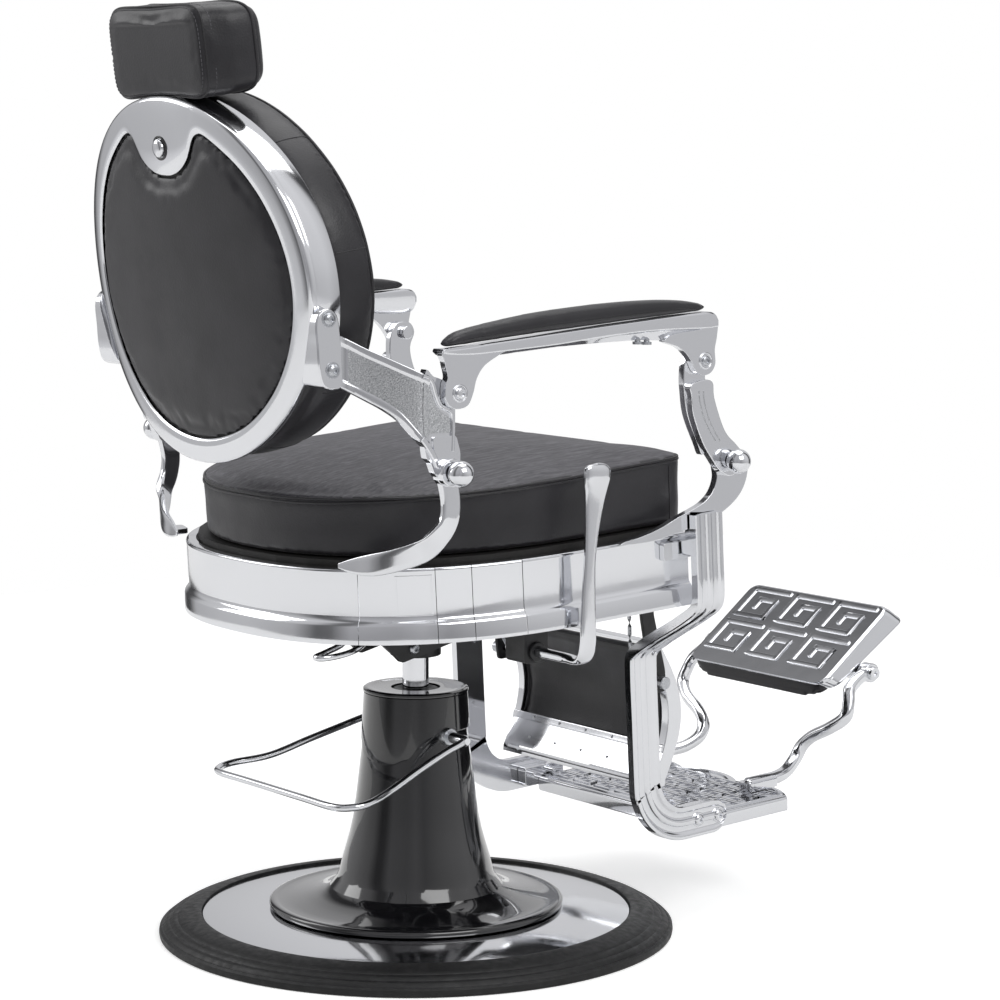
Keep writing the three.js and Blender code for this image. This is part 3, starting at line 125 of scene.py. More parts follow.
class Shell:
    """Points in millimetres and the faces between them, before they become an object."""

    def __init__(self) -> None:
        """Starts empty."""
        self.points: list[Vector] = []
        self.faces: list[tuple[int, ...]] = []

    def add(self, points: Sequence[Any], faces: Sequence[Sequence[int]]) -> "Shell":
        """Adds a patch.

        Args:
            points: The patch's own points.
            faces: Its faces, as indices into those points.

        Returns:
            This shell.
        """
        start = len(self.points)
        self.points += [Vector(p) for p in points]
        self.faces += [tuple(start + i for i in face) for face in faces]
        return self

    def join(self, *others: "Shell") -> "Shell":
        """Adds other shells to this one and returns it.

        Args:
            others: The shells to add.

        Returns:
            This shell.
        """
        for other in others:
            self.add(other.points, other.faces)
        return self

    def placed(self, matrix: Matrix) -> "Shell":
        """A copy moved by a matrix."""
        return Shell().add([matrix @ p for p in self.points], self.faces)

    def on(self, side: Side) -> "Shell":
        """A copy on one side of the chair: itself on the left, its mirror image on the right.

        Args:
            side: The side of the chair.

        Returns:
            The copy.
        """
        if side is Side.LEFT:
            return self
        flipped = [Vector((-p.x, p.y, p.z)) for p in self.points]
        return Shell().add(flipped, [tuple(reversed(f)) for f in self.faces])


def skin(
    rings: Sequence[Sequence[Any]], closed: bool = False, caps: bool = True, ends: bool = False
) -> Shell:
    """A skin of quads over rings of equal counts.

    Args:
        rings: The rings, each a closed run of points.
        closed: Whether the last ring joins the first.
        caps: Whether the two ends get a face.
        ends: Whether an end face is a fan about its middle, as a bowed end needs.

    Returns:
        The shell.
    """
    count = len(rings[0])
    points = [Vector(p) for ring in rings for p in ring]
    faces: list[tuple[int, ...]] = []
    spans = len(rings) if closed else len(rings) - 1
    for i in range(spans):
        a, b = i * count, (i + 1) % len(rings) * count
        for j in range(count):
            k = (j + 1) % count
            faces.append((a + j, a + k, b + k, b + j))
    if caps and not closed:
        top = (len(rings) - 1) * count
        if ends:
            for start, back in ((0, True), (top, False)):
                middle = sum((points[start + j] for j in range(count)), Vector()) / count
                points.append(middle)
                hub = len(points) - 1
                for j in range(count):
                    k = (j + 1) % count
                    pair = (start + k, start + j) if back else (start + j, start + k)
                    faces.append((hub, *pair))
        else:
            faces.append(tuple(reversed(range(count))))
            faces.append(tuple(top + j for j in range(count)))
    return Shell().add(points, faces)


def turned(
    profile: Sequence[Flat], at: Point = (0, 0, 0), axis: Axis = Axis.Z, sides: int = 96
) -> Shell:
    """A solid of revolution from [radius, height] pairs.

    Args:
        profile: The outline from one end of the axis to the other, or a closed run off the axis.
        at: Where height nought lies.
        axis: The axis that it is turned about.
        sides: How many steps make the round.

    Returns:
        The shell.
    """
    rings = []
    for radius, height in profile:
        ring = []
        for i in range(sides):
            a = 2 * math.pi * i / sides
            u, v = radius * math.cos(a), radius * math.sin(a)
            if axis is Axis.Z:
                local = (u, v, height)
            elif axis is Axis.X:
                local = (height, u, v)
            else:
                local = (v, height, u)
            ring.append(Vector(local) + Vector(at))
        rings.append(ring)
    return skin(rings, closed=profile[0] == profile[-1])


def rounded(points: Sequence[Flat], radius: float, steps: int = 5) -> list[Flat]:
    """A closed outline with its corners rounded.

    Args:
        points: The corners.
        radius: How far along its two edges each corner's round reaches at most.
        steps: How many spans make one round.

    Returns:
        The rounded outline.
    """
    out: list[Flat] = []
    count = len(points)
    for i, corner in enumerate(points):
        here = Vector(corner)
        before, after = Vector(points[i - 1]) - here, Vector(points[(i + 1) % count]) - here
        reach = min(radius, before.length / 2.05, after.length / 2.05)
        enter, leave = here + before.normalized() * reach, here + after.normalized() * reach
        for j in range(steps + 1):
            t = j / steps
            at = enter * (1 - t) ** 2 + here * 2 * t * (1 - t) + leave * t * t
            out.append((at.x, at.y))
    return out


def flowing(points: Sequence[Any], per: int = 6, closed: bool = True) -> list[Vector]:
    """A smooth run through given points.

    Args:
        points: The points that it passes through.
        per: How many spans lie between two of them.
        closed: Whether the run closes on itself.

    Returns:
        The finer run.
    """
    given = [Vector(p) for p in points]
    count = len(given)
    out: list[Vector] = []
    for i in range(count if closed else count - 1):
        if closed:
            a, b, c, d = (given[(i + k) % count] for k in (-1, 0, 1, 2))
        else:
            b, c = given[i], given[i + 1]
            a = given[i - 1] if i else b * 2 - c
            d = given[i + 2] if i + 2 < count else c * 2 - b
        for j in range(per):
            t = j / per
            out.append(
                0.5
                * (b * 2 + (c - a) * t + (a * 2 - b * 5 + c * 4 - d) * t * t
                   + (b * 3 - c * 3 + d - a) * t ** 3)
            )
    if not closed:
        out.append(given[-1])
    return out


def slab(outline: Sequence[Any], low: float, high: float, axis: Axis = Axis.X) -> Shell:
    """A plate of an even thickness.

    Args:
        outline: Its outline: [y, z] for a plate thick along X, [x, y] for one thick along Z, and
            [x, z] for one thick along Y.
        low: Where it starts along its axis.
        high: Where it ends.
        axis: The direction that it is thick in.

    Returns:
        The shell.
    """
    rings = []
    for level in (low, high):
        ring = []
        for u, v in (tuple(p)[:2] for p in outline):
            point = {Axis.X: (level, u, v), Axis.Y: (u, level, v), Axis.Z: (u, v, level)}[axis]
            ring.append(point)
        rings.append(ring)
    return skin(rings)


def inset(outline: Sequence[Any], depth: float) -> list[Flat]:
    """A closed outline drawn in by a depth, or out by a negative one, point for point.

    Args:
        outline: The closed outline.
        depth: How far in it goes.

    Returns:
        The new outline, with as many points.
    """
    flat = [Vector(tuple(p)[:2]) for p in outline]
    area = sum(a.x * b.y - b.x * a.y for a, b in zip(flat, flat[1:] + flat[:1]))
    sign = 1 if area > 0 else -1
    out = []
    for i, here in enumerate(flat):
        ahead = flat[(i + 1) % len(flat)] - flat[i - 1]
        ahead.normalize()
        out.append((here.x - sign * ahead.y * depth, here.y + sign * ahead.x * depth))
    return out


def band(outline: Sequence[Any], width: float, low: float, high: float, axis: Axis) -> Shell:
    """A raised rim that follows the inside of an outline, as wide as given.

    Args:
        outline: The closed outline.
        width: How wide the rim is.
        low: Where it starts along its axis.
        high: Where it ends.
        axis: The direction that it is thick in.

    Returns:
        The rim.
    """
    inner = inset(outline, width)
    rings = []
    for ring, level in ((outline, low), (outline, high), (inner, high), (inner, low)):
        rings.append(list(slab(ring, level, level + 1, axis).points[: len(outline)]))
    return skin(rings, closed=True)


def swept(
    path: Sequence[Any], section: Sequence[Flat], out: Any = (0, 0, 1), grow: Any = None,
    closed: bool = False,
) -> Shell:
    """A section carried along a path.

    Args:
        path: The points that the section's middle passes through.
        section: The closed section as [across, outward].
        out: The outward direction, one for the whole path or one for each point.
        grow: The section's scale at each point, as [across, outward], if it changes.
        closed: Whether the path closes on itself.

    Returns:
        The shell.
    """
    run = [Vector(p) for p in path]
    rings = []
    last = len(run) - 1
    for i, here in enumerate(run):
        after = run[(i + 1) % len(run)] if closed else run[min(i + 1, last)]
        before = run[i - 1] if closed else run[max(i - 1, 0)]
        along = (after - before).normalized()
        outward = Vector(out[i] if isinstance(out, list) else out)
        across = along.cross(outward).normalized()
        outward = across.cross(along).normalized()
        su, sv = grow[i] if grow else (1, 1)
        rings.append([here + across * (u * su) + outward * (v * sv) for u, v in section])
    return skin(rings, closed=closed)


def ellipse(width: float, height: float, power: float = 1.0, sides: int = 20) -> list[Flat]:
    """A closed oval section; a power under 1 squares its shoulders.

    Args:
        width: The full width.
        height: The full height.
        power: How round the shoulders are.
        sides: How many points it has.

    Returns:
        The closed section.
    """
    out = []
    for i in range(sides):
        a = 2 * math.pi * (i + 0.5) / sides
        c, s = math.cos(a), math.sin(a)
        out.append((
            math.copysign(abs(c) ** power, c) * width / 2,
            math.copysign(abs(s) ** power, s) * height / 2,
        ))
    return out


def rod(path: Sequence[Any], radius: float, per: int = 6, out: Any = (0, 0, 1)) -> Shell:
    """A round bar along a smooth path."""
    return swept(flowing(path, per, closed=False), ellipse(2 * radius, 2 * radius), out)


def button_head(at: Point, radius: float = 6.5, high: float = 3.4, axis: Axis = Axis.X) -> Shell:
    """A domed screw head with a six-sided socket, its outward side at +X, +Y or +Z.

    Args:
        at: The middle of its seat.
        radius: The head's radius.
        high: How far the head stands out.
        axis: The direction that it faces.

    Returns:
        The shell.
    """
    dome = [
        (0, 0), (radius, 0), (radius, 0.25 * high), (0.9 * radius, 0.62 * high),
        (0.72 * radius, 0.88 * high), (0.5 * radius, high), (0.45 * radius, high),
        (0.42 * radius, 0.35 * high), (0, 0.35 * high),
    ]
    return turned(dome, at, axis, 24)


# ---------------------------------------------------------------- finishes


def linear(code: str, alpha: float = 1.0) -> tuple[float, float, float, float]:
    """An sRGB hex colour as linear light.

    Args:
        code: The colour as #rrggbb.
        alpha: Its opacity.

    Returns:
        Red, green, blue and alpha, from 0 to 1.
    """
    parts = []
    for i in (1, 3, 5):
        c = int(code[i : i + 2], 16) / 255
        parts.append(c / 12.92 if c <= 0.04045 else ((c + 0.055) / 1.055) ** 2.4)
    return parts[0], parts[1], parts[2], alpha


def add_node(
    tree: bpy.types.NodeTree, kind: str, settings: dict[Any, Any] | None = None,
    links: dict[Any, bpy.types.NodeSocket] | None = None,
) -> bpy.types.Node:
    """Adds one node.

    Args:
        tree: The node tree.
        kind: The node's type, without the words ShaderNode in front.
        settings: Values for its properties and its unlinked inputs, by name or index.
        links: The outputs that feed its inputs, by input name or index.

    Returns:
        The node.
    """
    made = tree.nodes.new("ShaderNode" + kind)
    for key, value in (settings or {}).items():
        if isinstance(key, str) and hasattr(made, key):
            setattr(made, key, value)
        else:
            made.inputs[key].default_value = value
    for key, source in (links or {}).items():
        tree.links.new(source, made.inputs[key])
    return made


def ramp_of(
    tree: bpy.types.NodeTree, source: bpy.types.NodeSocket, stops: Sequence[tuple[float, str]]
) -> bpy.types.NodeSocket:
    """A colour ramp over a source value; stops are [place, hex colour].

    Args:
        tree: The node tree.
        source: The value that picks the colour.
        stops: The places and their colours.

    Returns:
        The colour socket.
    """
    made = add_node(tree, "ValToRGB", None, {"Fac": source})
    marks = made.color_ramp.elements
    while len(marks) < len(stops):
        marks.new(0.5)
    for mark, (place, code) in zip(marks, stops):
        mark.position = place
        mark.color = linear(code)
    return made.outputs["Color"]


@dataclass(frozen=True)
class Finish:
    """What a surface is made of and how it was worked; the base of every finish here."""

    name: str
    colour: str
    roughness: float
    metallic: float = 0.0
    ior: float = 1.5

    def material(self) -> bpy.types.Material:
        """Makes the material once, and afterwards gives the same one.

        Returns:
            The material.
        """
        found = bpy.data.materials.get(self.name)
        if found:
            return found
        made = bpy.data.materials.new(self.name)
        made.use_nodes = True
        tree = made.node_tree
        shader = next(n for n in tree.nodes if n.type == "BSDF_PRINCIPLED")
        shader.inputs["Base Color"].default_value = linear(self.colour)
        shader.inputs["Roughness"].default_value = self.roughness
        shader.inputs["Metallic"].default_value = self.metallic
        if not self.metallic:
            shader.inputs["IOR"].default_value = self.ior
        place = add_node(tree, "TexCoord").outputs["Object"]
        self.work(tree, shader, place)
        made.diffuse_color = linear(self.colour)
        return made

    def work(
        self, tree: bpy.types.NodeTree, shader: bpy.types.Node, place: bpy.types.NodeSocket
    ) -> None:
        """Adds what working the surface left on it; the plain finish leaves nothing."""

    def uneven(
        self, tree: bpy.types.NodeTree, place: bpy.types.NodeSocket, size: float, low: float,
        high: float, stretch: Point = (1, 1, 1), detail: float = 4,
    ) -> bpy.types.NodeSocket:
        """A soft noise mapped between two values.

        Args:
            tree: The node tree.
            place: The coordinate.
            size: The size of one patch, in millimetres.
            low: The value at the noise's low end.
            high: The value at its high end.
            stretch: How many times longer a patch is along each axis.
            detail: How many finer layers the noise has.

        Returns:
            The value.
        """
        at = add_node(
            tree, "Mapping", {"Scale": tuple(1 / s for s in stretch)}, {"Vector": place}
        ).outputs[0]
        noise = add_node(
            tree, "TexNoise", {"Scale": 1 / (size * MM), "Detail": detail}, {"Vector": at}
        ).outputs["Fac"]
        return add_node(
            tree, "MapRange",
            {"From Min": 0.3, "From Max": 0.7, "To Min": low, "To Max": high}, {"Value": noise},
        ).outputs["Result"]

    def raise_by(
        self, tree: bpy.types.NodeTree, shader: bpy.types.Node, height: bpy.types.NodeSocket,
        depth: float, strength: float = 1.0,
    ) -> None:
        """Bumps the surface by a height from 0 to 1, its whole range a depth in millimetres.

        Args:
            tree: The node tree.
            shader: The main shader.
            height: The height, from 0 to 1.
            depth: What its whole range is, in millimetres.
            strength: How much of it is used.
        """
        bump = add_node(
            tree, "Bump", {"Distance": depth * MM, "Strength": strength}, {"Height": height}
        )
        tree.links.new(bump.outputs["Normal"], shader.inputs["Normal"])


@dataclass(frozen=True)
class BuffedChrome(Finish):
    """Chromium plate over nickel on steel, buffed: a mirror with faint buffing haze and waves."""

    haze: float = 0.07

    def work(
        self, tree: bpy.types.NodeTree, shader: bpy.types.Node, place: bpy.types.NodeSocket
    ) -> None:
        """Cloudy buffing haze, about 60 mm a patch, and slow waves of hand polishing.

        Args:
            tree: The node tree.
            shader: The main shader.
            place: The place on the piece that patterns are laid by.
        """
        rough = self.uneven(tree, place, 60, self.roughness, self.roughness + self.haze)
        tree.links.new(rough, shader.inputs["Roughness"])
        wave = self.uneven(tree, place, 45, 0, 1, detail=1)
        self.raise_by(tree, shader, wave, 0.06)


@dataclass(frozen=True)
class SandCastChrome(Finish):
    """Chromium plate on an unpolished sand-cast face: bright, with a pebble of about 1 mm."""

    grain: float = 1.6

    def work(
        self, tree: bpy.types.NodeTree, shader: bpy.types.Node, place: bpy.types.NodeSocket
    ) -> None:
        """Sand grains of 0.5 mm, drawn three times as coarse so that they show.

        Args:
            tree: The node tree.
            shader: The main shader.
            place: The place on the piece that patterns are laid by.
        """
        pebble = self.uneven(tree, place, self.grain, 0, 1, detail=3)
        self.raise_by(tree, shader, pebble, 0.35)
        tint = ramp_of(tree, pebble, [(0.0, "#9fa1a4"), (1.0, "#d5d6d8")])
        tree.links.new(tint, shader.inputs["Base Color"])


@dataclass(frozen=True)
class GlossEnamel(Finish):
    """Stoved black enamel on a pressing: a wet gloss with a slight orange peel of 4 mm."""

    def work(
        self, tree: bpy.types.NodeTree, shader: bpy.types.Node, place: bpy.types.NodeSocket
    ) -> None:
        """A clear coat and the faint swell of sprayed enamel.

        Args:
            tree: The node tree.
            shader: The main shader.
            place: The place on the piece that patterns are laid by.
        """
        shader.inputs["Coat Weight"].default_value = 1.0
        shader.inputs["Coat Roughness"].default_value = 0.03
        shader.inputs["Coat IOR"].default_value = 1.55
        peel = self.uneven(tree, place, 5, 0, 1, detail=2)
        self.raise_by(tree, shader, peel, 0.008)
        tone = ramp_of(
            tree, self.uneven(tree, place, 120, 0, 1), [(0, self.colour), (1, "#1b1b1e")]
        )
        tree.links.new(tone, shader.inputs["Base Color"])


@dataclass(frozen=True)
class SatinPaint(Finish):
    """Air-dried black paint on bar steel: satin, a little dusty, with brush lap marks."""

    def work(
        self, tree: bpy.types.NodeTree, shader: bpy.types.Node, place: bpy.types.NodeSocket
    ) -> None:
        """Dust that lightens the paint in patches of 25 mm and a fine tooth of 1.5 mm.

        Args:
            tree: The node tree.
            shader: The main shader.
            place: The place on the piece that patterns are laid by.
        """
        dust = self.uneven(tree, place, 25, 0, 1)
        tone = ramp_of(tree, dust, [(0, self.colour), (1, "#2a2a2c")])
        tree.links.new(tone, shader.inputs["Base Color"])
        rough = self.uneven(tree, place, 18, self.roughness - 0.08, self.roughness + 0.08)
        tree.links.new(rough, shader.inputs["Roughness"])
        self.raise_by(tree, shader, self.uneven(tree, place, 1.5, 0, 1), 0.05)


@dataclass(frozen=True)
class MouldedRubber(Finish):
    """Moulded black rubber: dull, greyed where shoes rub it, with a mould's fine tooth."""

    def work(
        self, tree: bpy.types.NodeTree, shader: bpy.types.Node, place: bpy.types.NodeSocket
    ) -> None:
        """Scuffs in patches of 14 mm and a tooth of 1 mm.

        Args:
            tree: The node tree.
            shader: The main shader.
            place: The place on the piece that patterns are laid by.
        """
        scuff = self.uneven(tree, place, 14, 0, 1, (1, 1, 0.4))
        tone = ramp_of(tree, scuff, [(0.0, self.colour), (0.6, "#131314"), (1.0, "#1f1f20")])
        tree.links.new(tone, shader.inputs["Base Color"])
        rough = self.uneven(tree, place, 9, self.roughness - 0.1, self.roughness + 0.1)
        tree.links.new(rough, shader.inputs["Roughness"])
        self.raise_by(tree, shader, self.uneven(tree, place, 1.0, 0, 1), 0.06)


@dataclass(frozen=True)
class GrainedVinyl(Finish):
    """Coated fabric embossed as calf leather: a soft sheen over pebbles of about 1 mm."""

    pebble: float = 2.2

    def work(
        self, tree: bpy.types.NodeTree, shader: bpy.types.Node, place: bpy.types.NodeSocket
    ) -> None:
        """Pebbles drawn 2 mm wide so that they show, creases of 30 mm and a worn tone.

        Args:
            tree: The node tree.
            shader: The main shader.
            place: The place on the piece that patterns are laid by.
        """
        cells = add_node(
            tree, "TexVoronoi",
            {"Scale": 1 / (self.pebble * MM), "feature": "SMOOTH_F1", "Randomness": 0.9},
            {"Vector": place},
        ).outputs["Distance"]
        crease = self.uneven(tree, place, 30, 0, 0.6, detail=5)
        height = add_node(tree, "Math", {"operation": "ADD"}, {0: cells, 1: crease}).outputs[0]
        self.raise_by(tree, shader, height, 0.12)
        tone = ramp_of(
            tree, self.uneven(tree, place, 70, 0, 1, detail=6),
            [(0.0, self.colour), (1.0, "#28272b")],
        )
        tree.links.new(tone, shader.inputs["Base Color"])
        rough = self.uneven(tree, place, 40, self.roughness - 0.06, self.roughness + 0.06)
        tree.links.new(rough, shader.inputs["Roughness"])
        shader.inputs["Sheen Weight"].default_value = 0.12
        shader.inputs["Sheen Roughness"].default_value = 0.4


@dataclass(frozen=True)
class StreakedVinyl(Finish):
    """Coated fabric printed with a brushed grey streak that runs from front to rear."""

    light: str = "#605f65"
    dark: str = "#343338"

    def work(
        self, tree: bpy.types.NodeTree, shader: bpy.types.Node, place: bpy.types.NodeSocket
    ) -> None:
        """Streaks 3 mm wide and ten times as long, over fibres of 0.9 mm, embossed a little.

        Args:
            tree: The node tree.
            shader: The main shader.
            place: The place on the piece that patterns are laid by.
        """
        streak = self.uneven(tree, place, 4.2, 0, 1, (1, 11, 1), detail=5)
        fibre = self.uneven(tree, place, 1.8, 0, 1, (1, 7, 1), detail=2)
        mixed = add_node(tree, "Mix", {"Factor": 0.4}, {2: streak, 3: fibre}).outputs[0]
        tone = ramp_of(tree, mixed, [(0.0, self.dark), (0.5, self.colour), (1.0, self.light)])
        tree.links.new(tone, shader.inputs["Base Color"])
        rough = add_node(
            tree, "MapRange", {"To Min": self.roughness + 0.08, "To Max": self.roughness - 0.08},
            {"Value": mixed},
        ).outputs["Result"]
        tree.links.new(rough, shader.inputs["Roughness"])
        self.raise_by(tree, shader, mixed, 0.1)


@dataclass(frozen=True)
class Plywood(Finish):
    """Birch plywood coloured near black; its grain shows through, from side to side."""

    def work(
        self, tree: bpy.types.NodeTree, shader: bpy.types.Node, place: bpy.types.NodeSocket
    ) -> None:
        """Growth lines of 3 mm, twenty times as long.

        Args:
            tree: The node tree.
            shader: The main shader.
            place: The place on the piece that patterns are laid by.
        """
        grain = self.uneven(tree, place, 3, 0, 1, (20, 1, 1), detail=5)
        tone = ramp_of(tree, grain, [(0, "#0c0b0a"), (1, self.colour)])
        tree.links.new(tone, shader.inputs["Base Color"])
        self.raise_by(tree, shader, grain, 0.1)


@dataclass(frozen=True)
class TurnedSteel(Finish):
    """Steel or zinc plate straight from the tool: grey, with fine rings of about 1 mm."""

    def work(
        self, tree: bpy.types.NodeTree, shader: bpy.types.Node, place: bpy.types.NodeSocket
    ) -> None:
        """A satin that varies in patches of 8 mm and tool marks across it.

        Args:
            tree: The node tree.
            shader: The main shader.
            place: The place on the piece that patterns are laid by.
        """
        rough = self.uneven(tree, place, 8, self.roughness - 0.07, self.roughness + 0.1)
        tree.links.new(rough, shader.inputs["Roughness"])
        self.raise_by(tree, shader, self.uneven(tree, place, 1.2, 0, 1, (1, 1, 6)), 0.03)


CHROME = BuffedChrome("buffed_chrome_plate", "#e4e5e8", 0.06, 1.0)
CAST = SandCastChrome("sand_cast_chrome", "#c4c6c9", 0.3, 1.0)
ENAMEL = GlossEnamel("black_stoved_enamel", "#08080a", 0.12)
SATIN = SatinPaint("black_satin_paint", "#161617", 0.42)
RUBBER = MouldedRubber("black_moulded_rubber", "#0d0d0e", 0.5)
LEATHER = GrainedVinyl("black_grained_vinyl", "#1b1a1e", 0.4)
STREAK = StreakedVinyl("grey_streaked_vinyl", "#48474c", 0.5)
ZINC = TurnedSteel("zinc_plated_steel", "#c2c4c8", 0.28, 1.0)
STEEL = TurnedSteel("turned_steel", "#9a9ca1", 0.32, 1.0)
# Near black on the seat board: partly the black vinyl wrapped over its edge, partly painted shade
# in the gap under the cushion.
NEAR_BLACK_BOARD = Plywood("black_stained_plywood", "#1b1917", 0.6)
THREAD = GrainedVinyl("black_welt_thread", "#1a191c", 0.5, pebble=1.0)
STITCH = GrainedVinyl("grey_stitching_thread", "#5b5a5f", 0.55, pebble=0.8)


# ---------------------------------------------------------------- objects


@dataclass
class Piece:
    """How a shell becomes an object of the scene."""

    name: str
    shell: Shell
    finish: Finish
    body: str
    slot: str
    frame: Matrix = WORLD
    bevel: float = 0.7
    segments: int = 2
    angle: float = 32.0
    replaces: tuple[str, ...] = ()

    def build(self) -> bpy.types.Object:
        """Makes the mesh, rounds its sharp edges, dresses it and lets it ride on its body.

        Returns:
            The finished object.
        """
        scale = Matrix.Scale(MM, 4) @ self.frame
        work = bmesh.new()
        verts = [work.verts.new(scale @ p) for p in self.shell.points]
        for face in self.shell.faces:
            try:
                work.faces.new([verts[i] for i in face])
            except ValueError:
                continue
        bmesh.ops.remove_doubles(work, verts=work.verts, dist=0.01 * MM)
        bmesh.ops.recalc_face_normals(work, faces=work.faces)
        if self.bevel:
            sharp = [
                e for e in work.edges
                if len(e.link_faces) == 2 and e.calc_face_angle(0) > math.radians(self.angle)
            ]
            bmesh.ops.bevel(
                work, geom=sharp, offset=self.bevel * MM, segments=self.segments,
                profile=0.5, affect="EDGES", clamp_overlap=True,
            )
        mesh = bpy.data.meshes.new(self.name)
        work.to_mesh(mesh)
        work.free()
        return self.dress(mesh)

    def dress(self, mesh: bpy.types.Mesh) -> bpy.types.Object:
        """Smooths, paints and attaches a finished mesh.

        Args:
            mesh: The mesh in metres.

        Returns:
            The object.
        """
        mesh.shade_smooth()
        mesh.set_sharp_from_angle(angle=math.radians(38))
        made = bpy.data.objects.new(self.name, mesh)
        bpy.context.scene.collection.objects.link(made)
        mesh.materials.append(self.finish.material())
        if self.bevel:
            weigh = made.modifiers.new("weighted", "WEIGHTED_NORMAL")
            weigh.keep_sharp = True
        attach(made, self.body)
        if self.replaces:
            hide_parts(*self.replaces)
        LOG.info("%s: %d faces on %s", self.name, len(mesh.polygons), self.body)
        return made


# ---------------------------------------------------------------- soft pieces


class Cover:
    """The finished face of a cushion, in its own frame, for laying welts and seams on."""

    def __init__(self, points: Sequence[Vector], faces: Sequence[Sequence[int]]) -> None:
        """Keeps a search tree over the face, in millimetres."""
        self.tree = BVHTree.FromPolygons([tuple(p) for p in points], [tuple(f) for f in faces])

    def lay(
        self, points: Sequence[Any], lift: float, closed: bool = True
    ) -> tuple[list[Vector], list[Vector]]:
        """Drops a run onto the face.

        Args:
            points: The run.
            lift: How far above the face it ends up.
            closed: Whether it closes on itself.

        Returns:
            The run as laid, and the outward direction at each of its points.
        """
        hits = [self.tree.find_nearest(Vector(p)) for p in points]
        run = [hit[0] + hit[1] * lift for hit in hits]
        outs = [hit[1].copy() for hit in hits]
        for _ in range(3):
            smooth, turned_to = [], []
            for i, here in enumerate(run):
                if not closed and i in (0, len(run) - 1):
                    smooth.append(here)
                    turned_to.append(outs[i])
                    continue
                after = (i + 1) % len(run)
                smooth.append((run[i - 1] + here * 2 + run[after]) / 4)
                turned_to.append((outs[i - 1] + outs[i] * 2 + outs[after]).normalized())
            run, outs = smooth, turned_to
        return run, outs

    def welt(self, points: Sequence[Any], radius: float, lift: float = 0.4,
             closed: bool = True) -> Shell:
        """A covered cord sewn into a seam along a run."""
        run, outs = self.lay(points, lift, closed)
        return swept(run, ellipse(2 * radius, 2 * radius, sides=12), outs, closed=closed)

    def stitching(
        self, points: Sequence[Any], length: float = 3.4, gap: float = 1.6, closed: bool = True
    ) -> Shell:
        """A row of stitches along a run.

        Args:
            points: The run.
            length: One stitch's length.
            gap: The space to the next.
            closed: Whether the run closes on itself.

        Returns:
            The shell of all stitches.
        """
        run, outs = self.lay(points, 0.15, closed)
        if closed:
            run, outs = run + run[:1], outs + outs[:1]
        marks = [0.0]
        for a, b in zip(run, run[1:]):
            marks.append(marks[-1] + (b - a).length)
        rows = Shell()
        section = ellipse(0.95, 0.8, sides=6)
        step = length + gap
        for k in range(int(marks[-1] / step)):
            ends = []
            for s in (k * step, k * step + length):
                i = next(j for j in range(1, len(marks)) if marks[j] >= s)
                share = (s - marks[i - 1]) / max(1e-6, marks[i] - marks[i - 1])
                ends.append((run[i - 1].lerp(run[i], share), outs[i]))
            (a, out), (b, _) = ends
            rows.join(swept([a, (a + b) / 2 + out * 0.25, b], section, out))
        return rows


@dataclass
class Stuffing:
    """How foam fills out a cover: a short pressure simulation in which every move is capped."""

    most: float = 5.0
    voxel: float = 5.0
    pressure: float = 4.0
    frames: int = 20
    fill: float = 0.8
    held: Callable[[Vector], float] = lambda point: 0.0
    bend: Callable[[Vector], Vector] = lambda point: point

    def filled(self, mesh: bpy.types.Mesh) -> bpy.types.Mesh:
        """Blows a cover up.

        Args:
            mesh: The cover before it is filled, in metres in its own frame; it is used up.

        Returns:
            The filled cover.
        """
        scene = bpy.context.scene
        cover = bpy.data.objects.new("cover_before_filling", mesh)
        scene.collection.objects.link(cover)
        self.even_grid(cover)
        start = [v.co.copy() for v in cover.data.vertices]
        outward = [v.normal.copy() for v in cover.data.vertices]
        foam = cover.modifiers.new("foam", "CLOTH")
        foam.settings.use_pressure = True
        foam.settings.uniform_pressure_force = self.pressure
        foam.settings.effector_weights.gravity = 0
        foam.point_cache.frame_start = 1
        foam.point_cache.frame_end = self.frames
        for frame in range(1, self.frames + 1):
            scene.frame_set(frame)
        filled = self.taken(cover)
        for vertex, before, out in zip(filled.vertices, start, outward):
            move = vertex.co - before
            move = move - out * min(0.0, move.dot(out))
            if move.length > self.most * MM:
                move.length = self.most * MM
            vertex.co = before + move * (1 - self.held(before / MM))
        scene.frame_set(1)
        bpy.data.objects.remove(cover)
        return filled

    def even_grid(self, cover: bpy.types.Object) -> None:
        """Gives a cover an even grid, bent to the frame that it is stretched on.

        Args:
            cover: The cover.
        """
        even = cover.modifiers.new("even", "REMESH")
        even.mode = "VOXEL"
        even.voxel_size = self.voxel * MM
        cover.data = self.taken(cover)
        cover.modifiers.clear()
        for vertex in cover.data.vertices:
            vertex.co = self.bend(vertex.co / MM) * MM

    def taken(self, made: bpy.types.Object) -> bpy.types.Mesh:
        """The mesh of an object as its modifiers leave it."""
        graph = bpy.context.evaluated_depsgraph_get()
        return bpy.data.meshes.new_from_object(made.evaluated_get(graph))


